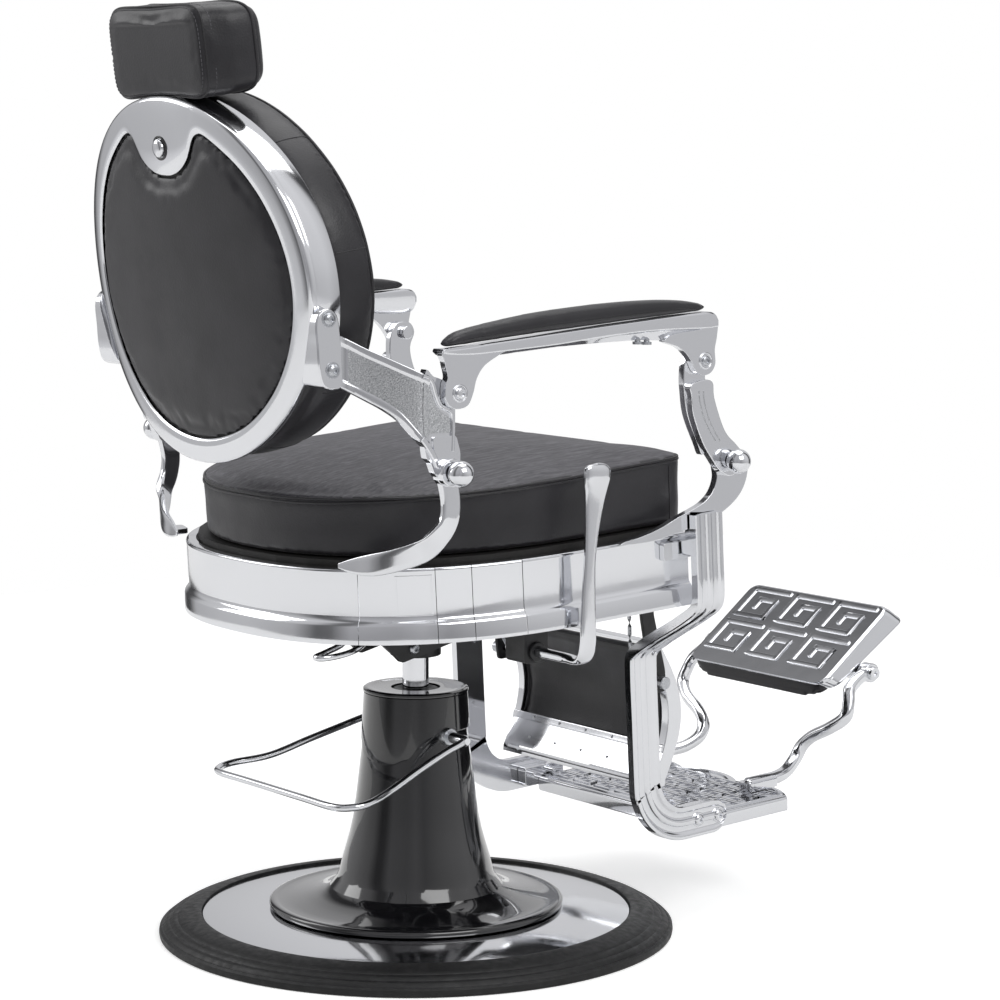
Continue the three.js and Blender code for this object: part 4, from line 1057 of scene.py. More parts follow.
@dataclass
class Cushion(Piece):
    """A padded piece: its cover is filled, laid in two finishes if it has them, and subdivided."""

    stuffing: Stuffing = field(default_factory=Stuffing)
    second: Finish | None = None
    is_second: Callable[[Vector], bool] = lambda point: False
    smoothing: int = 4

    def make(self) -> tuple[bpy.types.Object, Cover]:
        """Fills the cushion.

        Returns:
            The object and its face, for seams to be laid on.
        """
        mesh = bpy.data.meshes.new(self.name)
        mesh.from_pydata([p * MM for p in self.shell.points], [], self.shell.faces)
        mesh = self.stuffing.filled(mesh)
        mesh.name = self.name
        self.smooth(mesh)
        placed = [v.co / MM for v in mesh.vertices]
        cover = Cover(placed, [p.vertices for p in mesh.polygons])
        marks = [self.is_second(p.center / MM) for p in mesh.polygons]
        mesh.transform(Matrix.Scale(MM, 4) @ self.frame @ Matrix.Scale(1 / MM, 4))
        self.bevel = 0
        made = self.dress(mesh)
        if self.second:
            mesh.materials.append(self.second.material())
            for polygon, mark in zip(mesh.polygons, marks):
                polygon.material_index = int(mark)
        mesh.set_sharp_from_angle(angle=math.pi)
        finer = made.modifiers.new("finer", "SUBSURF")
        finer.levels = finer.render_levels = 1
        return made, cover

    def smooth(self, mesh: bpy.types.Mesh) -> None:
        """Evens out the grid's steps without drawing the cover in.

        Args:
            mesh: The filled mesh.
        """
        work = bmesh.new()
        work.from_mesh(mesh)
        for i in range(self.smoothing):
            bmesh.ops.smooth_vert(
                work, verts=work.verts, factor=0.5 if i % 2 == 0 else -0.52, use_axis_x=True,
                use_axis_y=True, use_axis_z=True,
            )
        work.to_mesh(mesh)
        work.free()

    def trim(self, name: str, shell: Shell, finish: Finish) -> bpy.types.Object:
        """A welt or seam sewn to this cushion."""
        return Piece(name, shell, finish, self.body, self.slot, self.frame, bevel=0).build()


# ---------------------------------------------------------------- base and column


@dataclass
class Base:
    """The weighted round base: a stepped rubber rim round a bright disc."""

    radius: float = 325.0
    disc_radius: float = 271.0
    disc_edge: float = 27.0
    disc_top: float = 33.0

    def build(self) -> None:
        """Builds the rim and the disc."""
        r, d = self.radius, self.disc_radius
        rim = [
            (d - 30, 0), (r - 3, 0), (r - 0.6, 1.5), (r, 5), (r - 0.6, 9), (r - 3.6, 11.4),
            (r - 5.5, 11.2), (r - 6.2, 12.2), (r - 9, 15.4), (r - 12.4, 17.2), (r - 14, 17),
            (r - 14.8, 18), (r - 18, 20.6), (r - 22, 22), (r - 23.6, 21.9), (r - 24.4, 22.8),
            (r - 30, 25.4), (r - 38, 27.3), (r - 46, 28.6), (d + 3, 29), (d + 0.6, 28.6),
            (d + 0.3, 27.5), (d + 0.3, 6), (d - 30, 6), (d - 30, 0),
        ]
        Piece(
            "rim_rubber", turned(rim, sides=192), RUBBER, "base", "rubber", bevel=0,
            replaces=("base_ring",),
        ).build()
        disc = [
            (0, 21), (d - 60, 17), (d - 31, 6.3), (d, 6.3), (d, self.disc_edge - 3),
            (d - 1.2, self.disc_edge - 0.8), (d - 4, self.disc_edge), (206, self.disc_top),
            (0, self.disc_top + 1),
        ]
        boss = [(0, 0), (60, 0), (60, 21), (0, 21)]
        lip = [(d - 51, 0), (d - 31, 0), (d - 31, 17), (d - 51, 17), (d - 51, 0)]
        Piece(
            "disc_plate", turned(disc, sides=192).join(turned(boss), turned(lip)), CHROME,
            "base", "chrome", bevel=0, replaces=("base_disc",),
        ).build()


@dataclass
class Column:
    """The pump column: an enamelled bell, its collar and cap, and the bright piston."""

    cover_bottom: float = 34.3
    top: float = 306.0
    top_radius: float = 65.5
    collar_wall: float = 4.0
    shaft_height: float = 258.0

    def collar_low(self, azimuth: float) -> float:
        """The height of the collar's lower edge at an azimuth in degrees, 90 being the rear.

        Args:
            azimuth: The azimuth in degrees.

        Returns:
            The height.
        """
        marks = [(0, 262), (40, 262), (62, 246), (78, 230), (96, 224), (118, 223), (134, 230),
                 (150, 246), (168, 262), (360, 262)]
        a = azimuth % 360
        for (a0, z0), (a1, z1) in zip(marks, marks[1:]):
            if a0 <= a <= a1:
                t = (a - a0) / (a1 - a0)
                return z0 + (z1 - z0) * t * t * (3 - 2 * t)
        return marks[-1][1]

    def collar(self) -> Shell:
        """The collar: a skirt whose lower edge dips at the rear, standing off the bell.

        Returns:
            The collar.
        """
        sides = 144
        outer, low_out, low_in, inner = [], [], [], []
        for i in range(sides):
            a = 2 * math.pi * i / sides
            low = self.collar_low(math.degrees(a))
            c, s = math.cos(a), math.sin(a)
            flare = self.top_radius + 4.4 * ((self.top - low) / 83) ** 1.4 + 0.9
            r1 = flare - self.collar_wall
            outer.append((self.top_radius * c, self.top_radius * s, self.top))
            low_out.append((flare * c, flare * s, low + 1))
            low_in.append(((flare - 1) * c, (flare - 1) * s, low))
            inner.append((r1 * c, r1 * s, low + 0.5))
        mids = []
        for share in (0.25, 0.5, 0.75):
            mids.append([tuple(Vector(a).lerp(Vector(b), share)) for a, b in zip(outer, low_out)])
        top_in = [(0.9 * x, 0.9 * y, z) for x, y, z in outer]
        return skin([top_in, outer, *mids, low_out, low_in, inner], closed=True)

    def build(self) -> None:
        """Builds the bell, collar, cap, gland, piston and the pedal shaft's bushes."""
        b = self.cover_bottom
        bell = [
            (166, b), (182.5, b), (185, b + 1), (186, b + 3.4), (185.6, 40.4), (183.4, 42.6),
            (180, 43.2), (176.5, 42.6), (173, 42.2), (160, 43.4), (143, 46), (128, 49.4),
            (116, 54), (107, 60), (101, 67.4), (97.6, 76), (95.6, 84), (92.6, 96), (88, 112),
            (83.6, 128), (79.4, 148), (76, 172), (73, 196), (70, 222), (67, 246), (63, 275),
            (62, self.top - 1), (56, self.top - 1), (56, 200), (70, 150), (84, 90), (120, 45),
            (166, b),
        ]
        Piece(
            "column_bell", turned(bell, sides=160).join(self.collar()), ENAMEL, "base",
            "black_gloss", bevel=0, replaces=("pedestal_cover",),
        ).build()
        t = self.top + 0.3
        cap = [
            (31, t), (64.6, t), (66.2, t + 1), (66.5, t + 2.4), (66, t + 4.4), (64, t + 5.8),
            (60, t + 6), (56, t + 5.4), (50, t + 4.8), (31, t + 4.8), (31, t),
        ]
        Piece(
            "column_cap", turned(cap, sides=128), ENAMEL, "base", "black_gloss", bevel=0,
            replaces=("pedestal_cap",),
        ).build()
        gland = [
            (16.8, 296.3), (30, 296.3), (30, 307.4), (28.4, 309.4), (26, 310), (22.4, 309.6),
            (19.4, 308.6), (16.8, 308.2), (16.8, 296.3),
        ]
        Piece(
            "piston_gland_ring", turned(gland), SATIN, "base", "black_paint", bevel=0,
            replaces=("piston_gland",),
        ).build()
        piston = [(0, 96), (15.7, 96), (16.7, 97), (16.7, 450), (14.7, 452), (0, 452)]
        Piece(
            "piston_rod", turned(piston), CHROME, "piston", "chrome", bevel=0,
            replaces=("piston",),
        ).build()
        for side in Side:
            bush = turned(
                [(7.1, 48), (11, 48), (11, 73), (10, 74.5), (7.1, 74.5), (7.1, 48)],
                (0, 0, self.shaft_height), Axis.X, 40,
            )
            Piece(
                side.named("shaft_bush"), bush.on(side), ZINC, "base", "zinc", bevel=0,
                replaces=(side.named("pedal_bush"),),
            ).build()


@dataclass
class PumpPedal:
    """The foot loop: one bent rod whose two ends turn in the column."""

    radius: float = 4.5
    axis_height: float = 258.0
    arm_x: float = 98.0
    corner_x: float = 156.0
    rear_y: float = 212.0
    foot_height: float = 207.0

    def build(self) -> None:
        """Builds the loop with its shaft ends."""
        x, z, c = self.arm_x, self.axis_height, self.corner_x
        half = [
            (x + 6, 0, z), (x + 9, 12, z - 3), (x + 12, 34, z - 9), (x + 22, 80, z - 23),
            (x + 35, 132, z - 40), (c - 5, self.rear_y - 36, self.foot_height + 4),
            (c - 10, self.rear_y - 12, self.foot_height + 1),
            (c - 32, self.rear_y, self.foot_height), (60, self.rear_y, self.foot_height),
        ]
        whole = half + [(-px, py, pz) for px, py, pz in reversed(half)]
        loop = rod(whole, self.radius, 8)
        for side in Side:
            shaft = turned(
                [(0, 28.7), (6, 28.7), (7, 29.7), (7, x + 4), (6.4, x + 9), (4.4, x + 11.6),
                 (0, x + 12)],
                (0, 0, z), Axis.X, 32,
            )
            loop.join(shaft.on(side))
        Piece(
            "foot_loop", loop, CHROME, "pump_pedal", "chrome", bevel=0, replaces=("pump_pedal",),
        ).build()


# ---------------------------------------------------------------- seat frame


@dataclass
class SeatPlan:
    """The D of the seat in plan: straight sides in front, a superellipse round the rear."""

    half: float = 293.0
    rear: float = 305.0
    centre_y: float = -38.0
    front_y: float = -197.0
    power: float = 2.4

    def at(self, degrees: float, out: float = 0.0) -> Flat:
        """A point of the round, 0 at the left side and 90 at the rear, moved out square to it.

        Args:
            degrees: Where on the round.
            out: How far it is moved out.

        Returns:
            The point as [x, y].
        """
        a = math.radians(degrees)
        n = 2 / self.power
        c, s = math.cos(a), math.sin(a)
        x = self.half * math.copysign(abs(c) ** n, c)
        y = self.centre_y + self.rear * math.copysign(abs(s) ** n, s)
        if out:
            gx = math.copysign(abs(x / self.half) ** (self.power - 1), x) / self.half
            gy = abs((y - self.centre_y) / self.rear) ** (self.power - 1) / self.rear
            size = math.hypot(gx, gy)
            x, y = x + out * gx / size, y + out * gy / size
        return x, y

    def whole(
        self, inset_by: float, front_y: float, corner: float = 0.0, count: int = 64
    ) -> list[Flat]:
        """The closed D, drawn in from the apron.

        Args:
            inset_by: How far inside the apron's outer face it lies.
            front_y: The front edge.
            corner: The radius of the two front corners.
            count: How many points make the rear round.

        Returns:
            The outline, from the left front corner round the rear to the right.
        """
        side = self.half - inset_by
        right: list[Flat] = []
        steps = 8
        for i in range(steps + 1):
            a = math.pi / 2 * (1 - i / steps)
            right.append((
                side - corner + corner * math.cos(a), front_y + corner - corner * math.sin(a)
            ))
        start = front_y + corner
        for i in range(1, 7):
            right.append((side, start + (self.centre_y - start) * i / 7))
        rear = [self.at(180 * i / count, -inset_by) for i in range(count + 1)]
        left = [(-x, y) for x, y in reversed(right)]
        return right + rear + left


@dataclass
class SeatFrame:
    """The bright apron with the brackets and pins it carries, and the black chassis below."""

    plan: SeatPlan
    top: float = 512.0
    bottom: float = 423.5
    shoulder: float = 27.0
    flare: float = 7.0
    arm_x: float = 311.0

    def section(self) -> list[Flat]:
        """The pressed section as [outward, z]: rolled top, wall, bead, step and flared skirt.

        Returns:
            The section, from the rolled top down.
        """
        t, b, s, f = self.top, self.bottom, self.shoulder, self.flare
        return [
            (f - 2.6, b), (f, b), (f + 0.2, b + 1), (f - 0.2, b + 6), (f - 0.9, b + s - 6),
            (f - 1.5, b + s - 4.4), (f - 2.6, b + s - 3.2), (f - 3, b + s - 2.4),
            (f - 4.2, b + s - 1.2), (1, b + s + 1), (0.2, b + s + 3), (0, b + s + 6),
            (0, t - 6), (0.6, t - 4.4), (0.7, t - 2.6), (0, t - 1), (-1.2, t - 0.2), (-3, t),
            (-12, t), (-12, t - 3), (-3, t - 3), (-3, b + s + 3), (f - 4, b + s - 3),
        ]

    def run(self, start: float, end: float, count: int, extra: float = 0.0) -> Shell:
        """The apron between two angles of its plan, and beyond 0 along the straight side.

        Args:
            start: The first angle in degrees; below 0 it is millimetres along the side instead.
            end: The last angle.
            count: How many spans.
            extra: How far the whole section stands out.

        Returns:
            The shell.
        """
        rings = []
        for i in range(count + 1):
            a = start + (end - start) * i / count
            ring = []
            for out, z in self.section():
                if a < 0:
                    ring.append((self.plan.half + out + extra, self.plan.centre_y + a, z))
                else:
                    x, y = self.plan.at(a, out + extra)
                    ring.append((x, y, z))
            rings.append(ring)
        return skin(rings)

    def build(self) -> None:
        """Builds the apron, the brackets, the pins and the chassis."""
        self.build_apron()
        self.build_brackets()
        self.build_chassis()

    def build_apron(self) -> None:
        """The rear apron in its pressed lengths, and the two side aprons."""
        seams = (13.2, 25.3, 34.2, 54.0)
        marks = [seams[0], seams[1], seams[2], seams[3], 180 - seams[3], 180 - seams[2],
                 180 - seams[1], 180 - seams[0]]
        rear = Shell()
        for a, b in zip(marks, marks[1:]):
            count = max(6, int((b - a) * 0.8))
            rear.join(self.run(a + 0.08, b - 0.08, count))
        b, t, s = self.bottom, self.top, self.shoulder
        for side in Side:
            window = Shell()
            for a0, a1, z0, z1 in (
                (35.0, 35.5, b + s + 6, t - 8), (43.9, 44.4, b + s + 6, t - 8),
                (35.0, 44.4, b + s + 5, b + s + 6.6), (35.0, 44.4, t - 9.6, t - 8),
            ):
                window.join(self.strip(a0, a1, z0, z1, 0.7))
            rear.join(window.on(side))
        Piece(
            "apron_rear", rear, CHROME, "seat", "chrome", SEAT, bevel=0, replaces=("seat_apron",),
        ).build()
        length = self.plan.front_y - self.plan.centre_y
        for side in Side:
            straight = self.run(length, -0.01, 12).join(self.run(0.0, seams[0] - 0.08, 8))
            Piece(
                side.named("apron_cheek"), straight.on(side), CHROME, "seat", "chrome", SEAT,
                bevel=0, replaces=(side.named("apron_side"),),
            ).build()

    def strip(self, a0: float, a1: float, z0: float, z1: float, proud: float) -> Shell:
        """A thin raised strip on the apron between two angles and two heights.

        Args:
            a0: The first angle in degrees.
            a1: The last angle.
            z0: The lower height.
            z1: The upper height.
            proud: How far it stands off the wall.

        Returns:
            The strip.
        """
        count = max(1, int((a1 - a0) * 1.2))
        rings = []
        for i in range(count + 1):
            a = a0 + (a1 - a0) * i / count
            rings.append([
                (*self.plan.at(a, out), z)
                for out, z in ((-1, z0), (proud, z0 + 0.5), (proud, z1 - 0.5), (-1, z1))
            ])
        return skin(rings)

    def build_brackets(self) -> None:
        """The forged front and rear brackets, with the ball-headed pins."""
        recline = seat_yz(175, 622)
        post = seat_yz(-242, 609)
        inner, outer = 300.3, self.arm_x - 0.3
        mid = (inner + outer) / 2
        h = self.plan.half
        path = flowing([
            (mid, recline[0] + 1, recline[1] + 2), (mid, recline[0] - 4, 598),
            (mid, recline[0], 574), (h + 7, 180, 556), (h - 9, 191, 541), (h - 35, 208, 530),
            (h - 63, 221, 523), (h - 89, 229, 519.6), (h - 114, 237, 518),
        ], 7, closed=False)
        outs = []
        widths = []
        for i, p in enumerate(path):
            t = i / (len(path) - 1)
            lean = max(0.0, min(1.0, (t - 0.3) / 0.5))
            outs.append((1 - 0.5 * lean, 0.85 * lean, 0.15 * lean))
            tail = max(0.0, (t - 0.7) / 0.3)
            widths.append((
                (1.0 - 0.1 * math.sin(math.pi * min(1, t * 2))) * (1 - 0.8 * tail * tail),
                1.0 - 0.7 * tail,
            ))
        strap = swept(path, ellipse(27, 9.5, 0.45, 28), outs, widths)
        eye = turned(
            [(5.1, inner), (16, inner), (17, inner + 1), (17, outer - 1), (16, outer),
             (5.1, outer), (5.1, inner)],
            (0, *recline), Axis.X, 48,
        )
        foot = slab(
            rounded([(h - 94, 208), (h - 62, 198), (h - 56, 214), (h - 92, 229)], 6),
            self.top + 0.3, self.top + 7, Axis.Z,
        )
        strap.join(eye, foot)
        for side in Side:
            Piece(
                side.named("bracket_rear"), strap.on(side), CHROME, "seat", "chrome", SEAT,
                bevel=0.8, replaces=(side.named("rear_bracket"),),
            ).build()
        outline = flowing([seat_yz(*p) for p in (
            (-263, 622), (-249, 627), (-233, 622), (-226, 606), (-228, 588), (-221, 571),
            (-207, 559), (-188, 551), (-166, 543.6), (-140, 533), (-112, 525.4), (-84, 520.6),
            (-82, 517), (-130, 518.6), (-176, 527), (-208, 534), (-237, 545), (-260, 560),
            (-273, 577), (-278, 598), (-274, 613),
        )], 5)
        front = slab([(p.x, p.y) for p in outline], inner, outer)
        tab = slab(rounded([(-216, 484), (-188, 484), (-186, 540), (-216, 536)], 4), inner, outer)
        seat_pad = slab(
            rounded([(-196, self.top - 30), (-152, self.top - 30), (-152, self.top - 8),
                     (-196, self.top - 8)], 4),
            h + 0.3, inner + 1,
        )
        front.join(tab)
        front.join(seat_pad)
        for side in Side:
            Piece(
                side.named("bracket_front"), front.on(side), CHROME, "seat", "chrome", SEAT,
                bevel=2.2, segments=3, replaces=(side.named("front_bracket"),),
            ).build()
        for name, (y, z) in (("recline_pin", recline), ("post_pin", post)):
            pin = self.ball_pin(y, z)
            for side in Side:
                Piece(
                    side.named(name + "_ball"), pin.on(side), CHROME, "seat", "chrome", SEAT,
                    bevel=0, replaces=(side.named(name),),
                ).build()

    def ball_pin(self, y: float, z: float) -> Shell:
        """A pin with a round ball outside and a riveted end inside.

        Args:
            y: Its place along the seat.
            z: Its height.

        Returns:
            The pin.
        """
        r = 15.0
        start = self.arm_x + 11.3
        centre = start + r * math.cos(math.radians(40))
        ball = [
            (r * math.sin(math.radians(a)), centre + r * math.cos(math.radians(a)))
            for a in range(140, -1, -7)
        ]
        profile = [
            (0, 296), (7, 296), (8, 297), (8, 299.7), (5, 299.7), (5, start - 0.2),
            (9.6, start - 0.2), *ball[1:],
        ]
        return turned(profile, (0, y, z), Axis.X, 48)

    def build_chassis(self) -> None:
        """The black frame between the piston and the seat board."""
        sleeve = turned([(17, 352), (31, 352), (32, 353), (32, 490), (17, 490), (17, 352)])
        back_to_seat = SEAT.inverted()
        frame = sleeve.placed(back_to_seat)
        web = slab(
            rounded([(-28, 372), (63, 356), (72, 366), (150, 440), (150, 497), (-130, 497),
                     (-130, 440)], 5),
            41.5, 48.5,
        )
        gusset = slab(rounded([(-45, 378), (45, 378), (45, 490), (-45, 490)], 2), -8, 8, Axis.Y)
        top_plate = slab(
            rounded([(-150, -150), (150, -150), (150, 170), (-150, 170)], 20), 493.7, 501.4,
            Axis.Z,
        )
        bolt = button_head((48.5, 44, 372), 7.5, 5)
        frame.join(web, web.on(Side.RIGHT), gusset, top_plate)
        Piece(
            "seat_chassis", frame, SATIN, "seat", "black_paint", SEAT, bevel=1.0,
            replaces=("chassis",),
        ).build()
        for side in Side:
            Piece(
                side.named("chassis_bolt"), bolt.on(side), ZINC, "seat", "zinc", SEAT, bevel=0.3
            ).build()


# ---------------------------------------------------------------- seat cushion


@dataclass
class SeatCushion:
    """The firm seat cushion: a streaked top, dark sides and a double welt round the rim."""

    plan: SeatPlan
    inset_by: float = 16.0
    front_y: float = -221.0
    corner: float = 32.0
    power: float = 2.2
    bottom: float = 520.2
    rear_side: float = 70.0
    front_side: float = 84.0
    crown: float = 18.0

    def rim(self, y: float) -> float:
        """The height of the welted rim at a depth y; it rises toward the front.

        Args:
            y: The place along the seat.

        Returns:
            The height.
        """
        rear = self.plan.centre_y + self.plan.rear
        share = (rear - y) / (rear - self.front_y)
        return self.bottom + self.rear_side + share * (self.front_side - self.rear_side)

    def ring(self, inset_by: float, rise: float, share: float) -> list[Point]:
        """A ring of the cushion.

        Args:
            inset_by: How far inside the apron's outer face it lies.
            rise: Its height above the level that the share gives.
            share: From 0, the underside, to 1, the rim.

        Returns:
            The points.
        """
        side, reach = self.plan.half - inset_by, self.plan.rear - inset_by
        front = self.front_y + inset_by - self.inset_by
        corner, start = self.corner, self.plan.centre_y
        half: list[Flat] = [(side * i / 8 * (side - corner) / side, front) for i in range(8)]
        for i in range(9):
            a = math.pi / 2 * (1 - i / 8)
            half.append((
                side - corner + corner * math.cos(a), front + corner - corner * math.sin(a)
            ))
        low = front + corner
        half += [(side, low + (start - low) * i / 7) for i in range(1, 7)]
        for i in range(41):
            a = math.pi / 2 * i / 40
            half.append((
                side * abs(math.cos(a)) ** (2 / self.power) if i < 40 else 0.0,
                start + reach * math.sin(a) ** (2 / self.power),
            ))
        flat = half + [(-x, y) for x, y in reversed(half[1:-1])]
        return [(x, y, self.bottom + share * (self.rim(y) - self.bottom) + rise) for x, y in flat]

    def build(self) -> None:
        """Fills the cushion and sews its welts and corner seams."""
        i = self.inset_by
        rings = [
            self.ring(i + 13, 0, 0), self.ring(i + 4, 3, 0), self.ring(i + 3, 0, 0.3),
            self.ring(i + 3, 0, 0.6), self.ring(i + 2, -8, 1), self.ring(i + 2, -3, 1),
            self.ring(i + 6, 0, 1), self.ring(i + 16, 2.4, 1), self.ring(i + 34, 5.4, 1),
            self.ring(i + 60, 8.4, 1),
        ]
        for share, rise in ((0.84, 11.0), (0.66, 13.4), (0.46, 15.4), (0.26, 16.8), (0.1, 17.4)):
            rings.append([
                (x * share, 30 + (y - 30) * share,
                 self.rim(30 + (y - 30) * share) + rise) for x, y, _ in self.ring(i + 60, 0, 1)
            ])
        cushion = Cushion(
            "seat_cushion_cover", skin(rings, ends=True), STREAK, "seat", "upholstery", SEAT,
            replaces=("seat_cushion",), second=LEATHER,
            is_second=lambda p: p.z < self.rim(p.y) - 0.4,
            stuffing=Stuffing(
                4.0, voxel=5.0, fill=0.85,
                held=lambda p: max(0.0, min(1.0, (self.bottom + 16 - p.z) / 12)),
            ),
        )
        _, face = cushion.make()
        outer = self.ring(i - 1, -0.6, 1)
        lower = self.ring(i - 2, -5.4, 1)
        cushion.trim("seat_welt_upper", face.welt(outer, 1.7, 0.7), THREAD)
        cushion.trim("seat_welt_lower", face.welt(lower, 1.6, 0.5), THREAD)
        seam = Shell()
        for x in (-1, 1):
            run = [
                (x * (self.plan.half - i - 4), self.front_y + 34, self.bottom + 6 + 66 * k / 10)
                for k in range(11)
            ]
            seam.join(face.welt(run, 0.9, 0.1, closed=False))
        cushion.trim("seat_corner_seams", seam, THREAD)


# ---------------------------------------------------------------- rails and footrest


@dataclass
class Rails:
    """The two grooved straps from the apron to the foot platform, with their screws."""

    width: float = 43.0
    thick: float = 12.0
    groove: float = 3.0
    upper_x: float = 319.0
    lower_x: float = 184.0
    y: float = -206.0
    top: float = 536.0
    jog_top: float = 426.0
    jog_bottom: float = 342.0
    radius: float = 60.0
    foot_z: float = 116.0
    foot_end: float = -334.0

    def route(self) -> list[Vector]:
        """The middle line of a strap, from its top end to its toe.

        Returns:
            The points of the middle line.
        """
        marks: list[Point] = [
            (self.upper_x, self.y, self.top), (self.upper_x, self.y, 480),
            (self.upper_x, self.y, self.jog_top + 16),
        ]
        for i in range(6):
            s = (i + 0.25) / 5.5
            eased = 0.4 * s * s * (3 - 2 * s) + 0.6 * s
            marks.append((
                self.upper_x + (self.lower_x - self.upper_x) * eased, self.y,
                self.jog_top - s * (self.jog_top - self.jog_bottom),
            ))
        marks += [(self.lower_x, self.y, self.jog_bottom - 16), (self.lower_x, self.y, 260)]
        for i in range(9):
            a = math.pi / 2 * i / 8
            marks.append((
                self.lower_x, self.y - self.radius * (1 - math.cos(a)),
                self.foot_z + self.radius * (1 - math.sin(a)),
            ))
        end = self.foot_end + self.width / 2
        marks += [(self.lower_x, end + 14, self.foot_z), (self.lower_x, end, self.foot_z)]
        return flowing(marks, 4, closed=False)

    def build(self) -> None:
        """Builds both straps with a round toe and two socket screws."""
        w, t, g = self.width / 2, self.thick / 2, self.groove
        section = [
            (-w, -t), (w, -t), (w, t - 1.2), (w - 1.2, t), (w - 6, t), (w - 7, t - 0.5),
            (w - 8.4, t - g + 0.4), (w - 9.4, t - g), (5.6, t - g), (4.6, t - g + 0.4),
            (3.4, t - 0.5), (2.4, t), (-2.4, t), (-3.4, t - 0.5), (-4.6, t - g + 0.4),
            (-5.6, t - g), (9.4 - w, t - g), (8.4 - w, t - g + 0.4), (7 - w, t - 0.5),
            (6 - w, t), (1.2 - w, t), (-w, t - 1.2),
        ]
        path = self.route()
        grow: list[Flat] = [(1, 1)] * len(path)
        for i in range(1, 13):
            reach = w * math.sin(math.pi / 2 * i / 12)
            path.append(Vector((self.lower_x, self.foot_end + w - reach, self.foot_z)))
            grow.append((max(0.06, math.cos(math.pi / 2 * i / 12)), 1))
        strap = swept(path, section, (1, 0, 0), grow)
        screws = Shell()
        for y in (self.foot_end + 13, self.foot_end + 46):
            seat = (self.lower_x + t - g - 0.2, y, self.foot_z)
            screws.join(
                turned([(0, 0), (9.4, 0), (9.4, 1.2), (8.6, 1.8), (0, 1.8)], seat, Axis.X, 32),
                button_head((seat[0] + 1.8, y, self.foot_z), 7.6, 4.2),
                turned([(0, 150), (3.8, 150), (3.8, 184), (0, 184)], (0, y, self.foot_z),
                       Axis.X, 20),
            )
        for side in Side:
            Piece(
                side.named("strap"), strap.on(side), CHROME, "seat", "chrome", SEAT, bevel=0,
                replaces=(side.named("rail"),),
            ).build()
            Piece(
                side.named("strap_screws"), screws.on(side), CHROME, "seat", "chrome", SEAT,
                bevel=0.3,
            ).build()


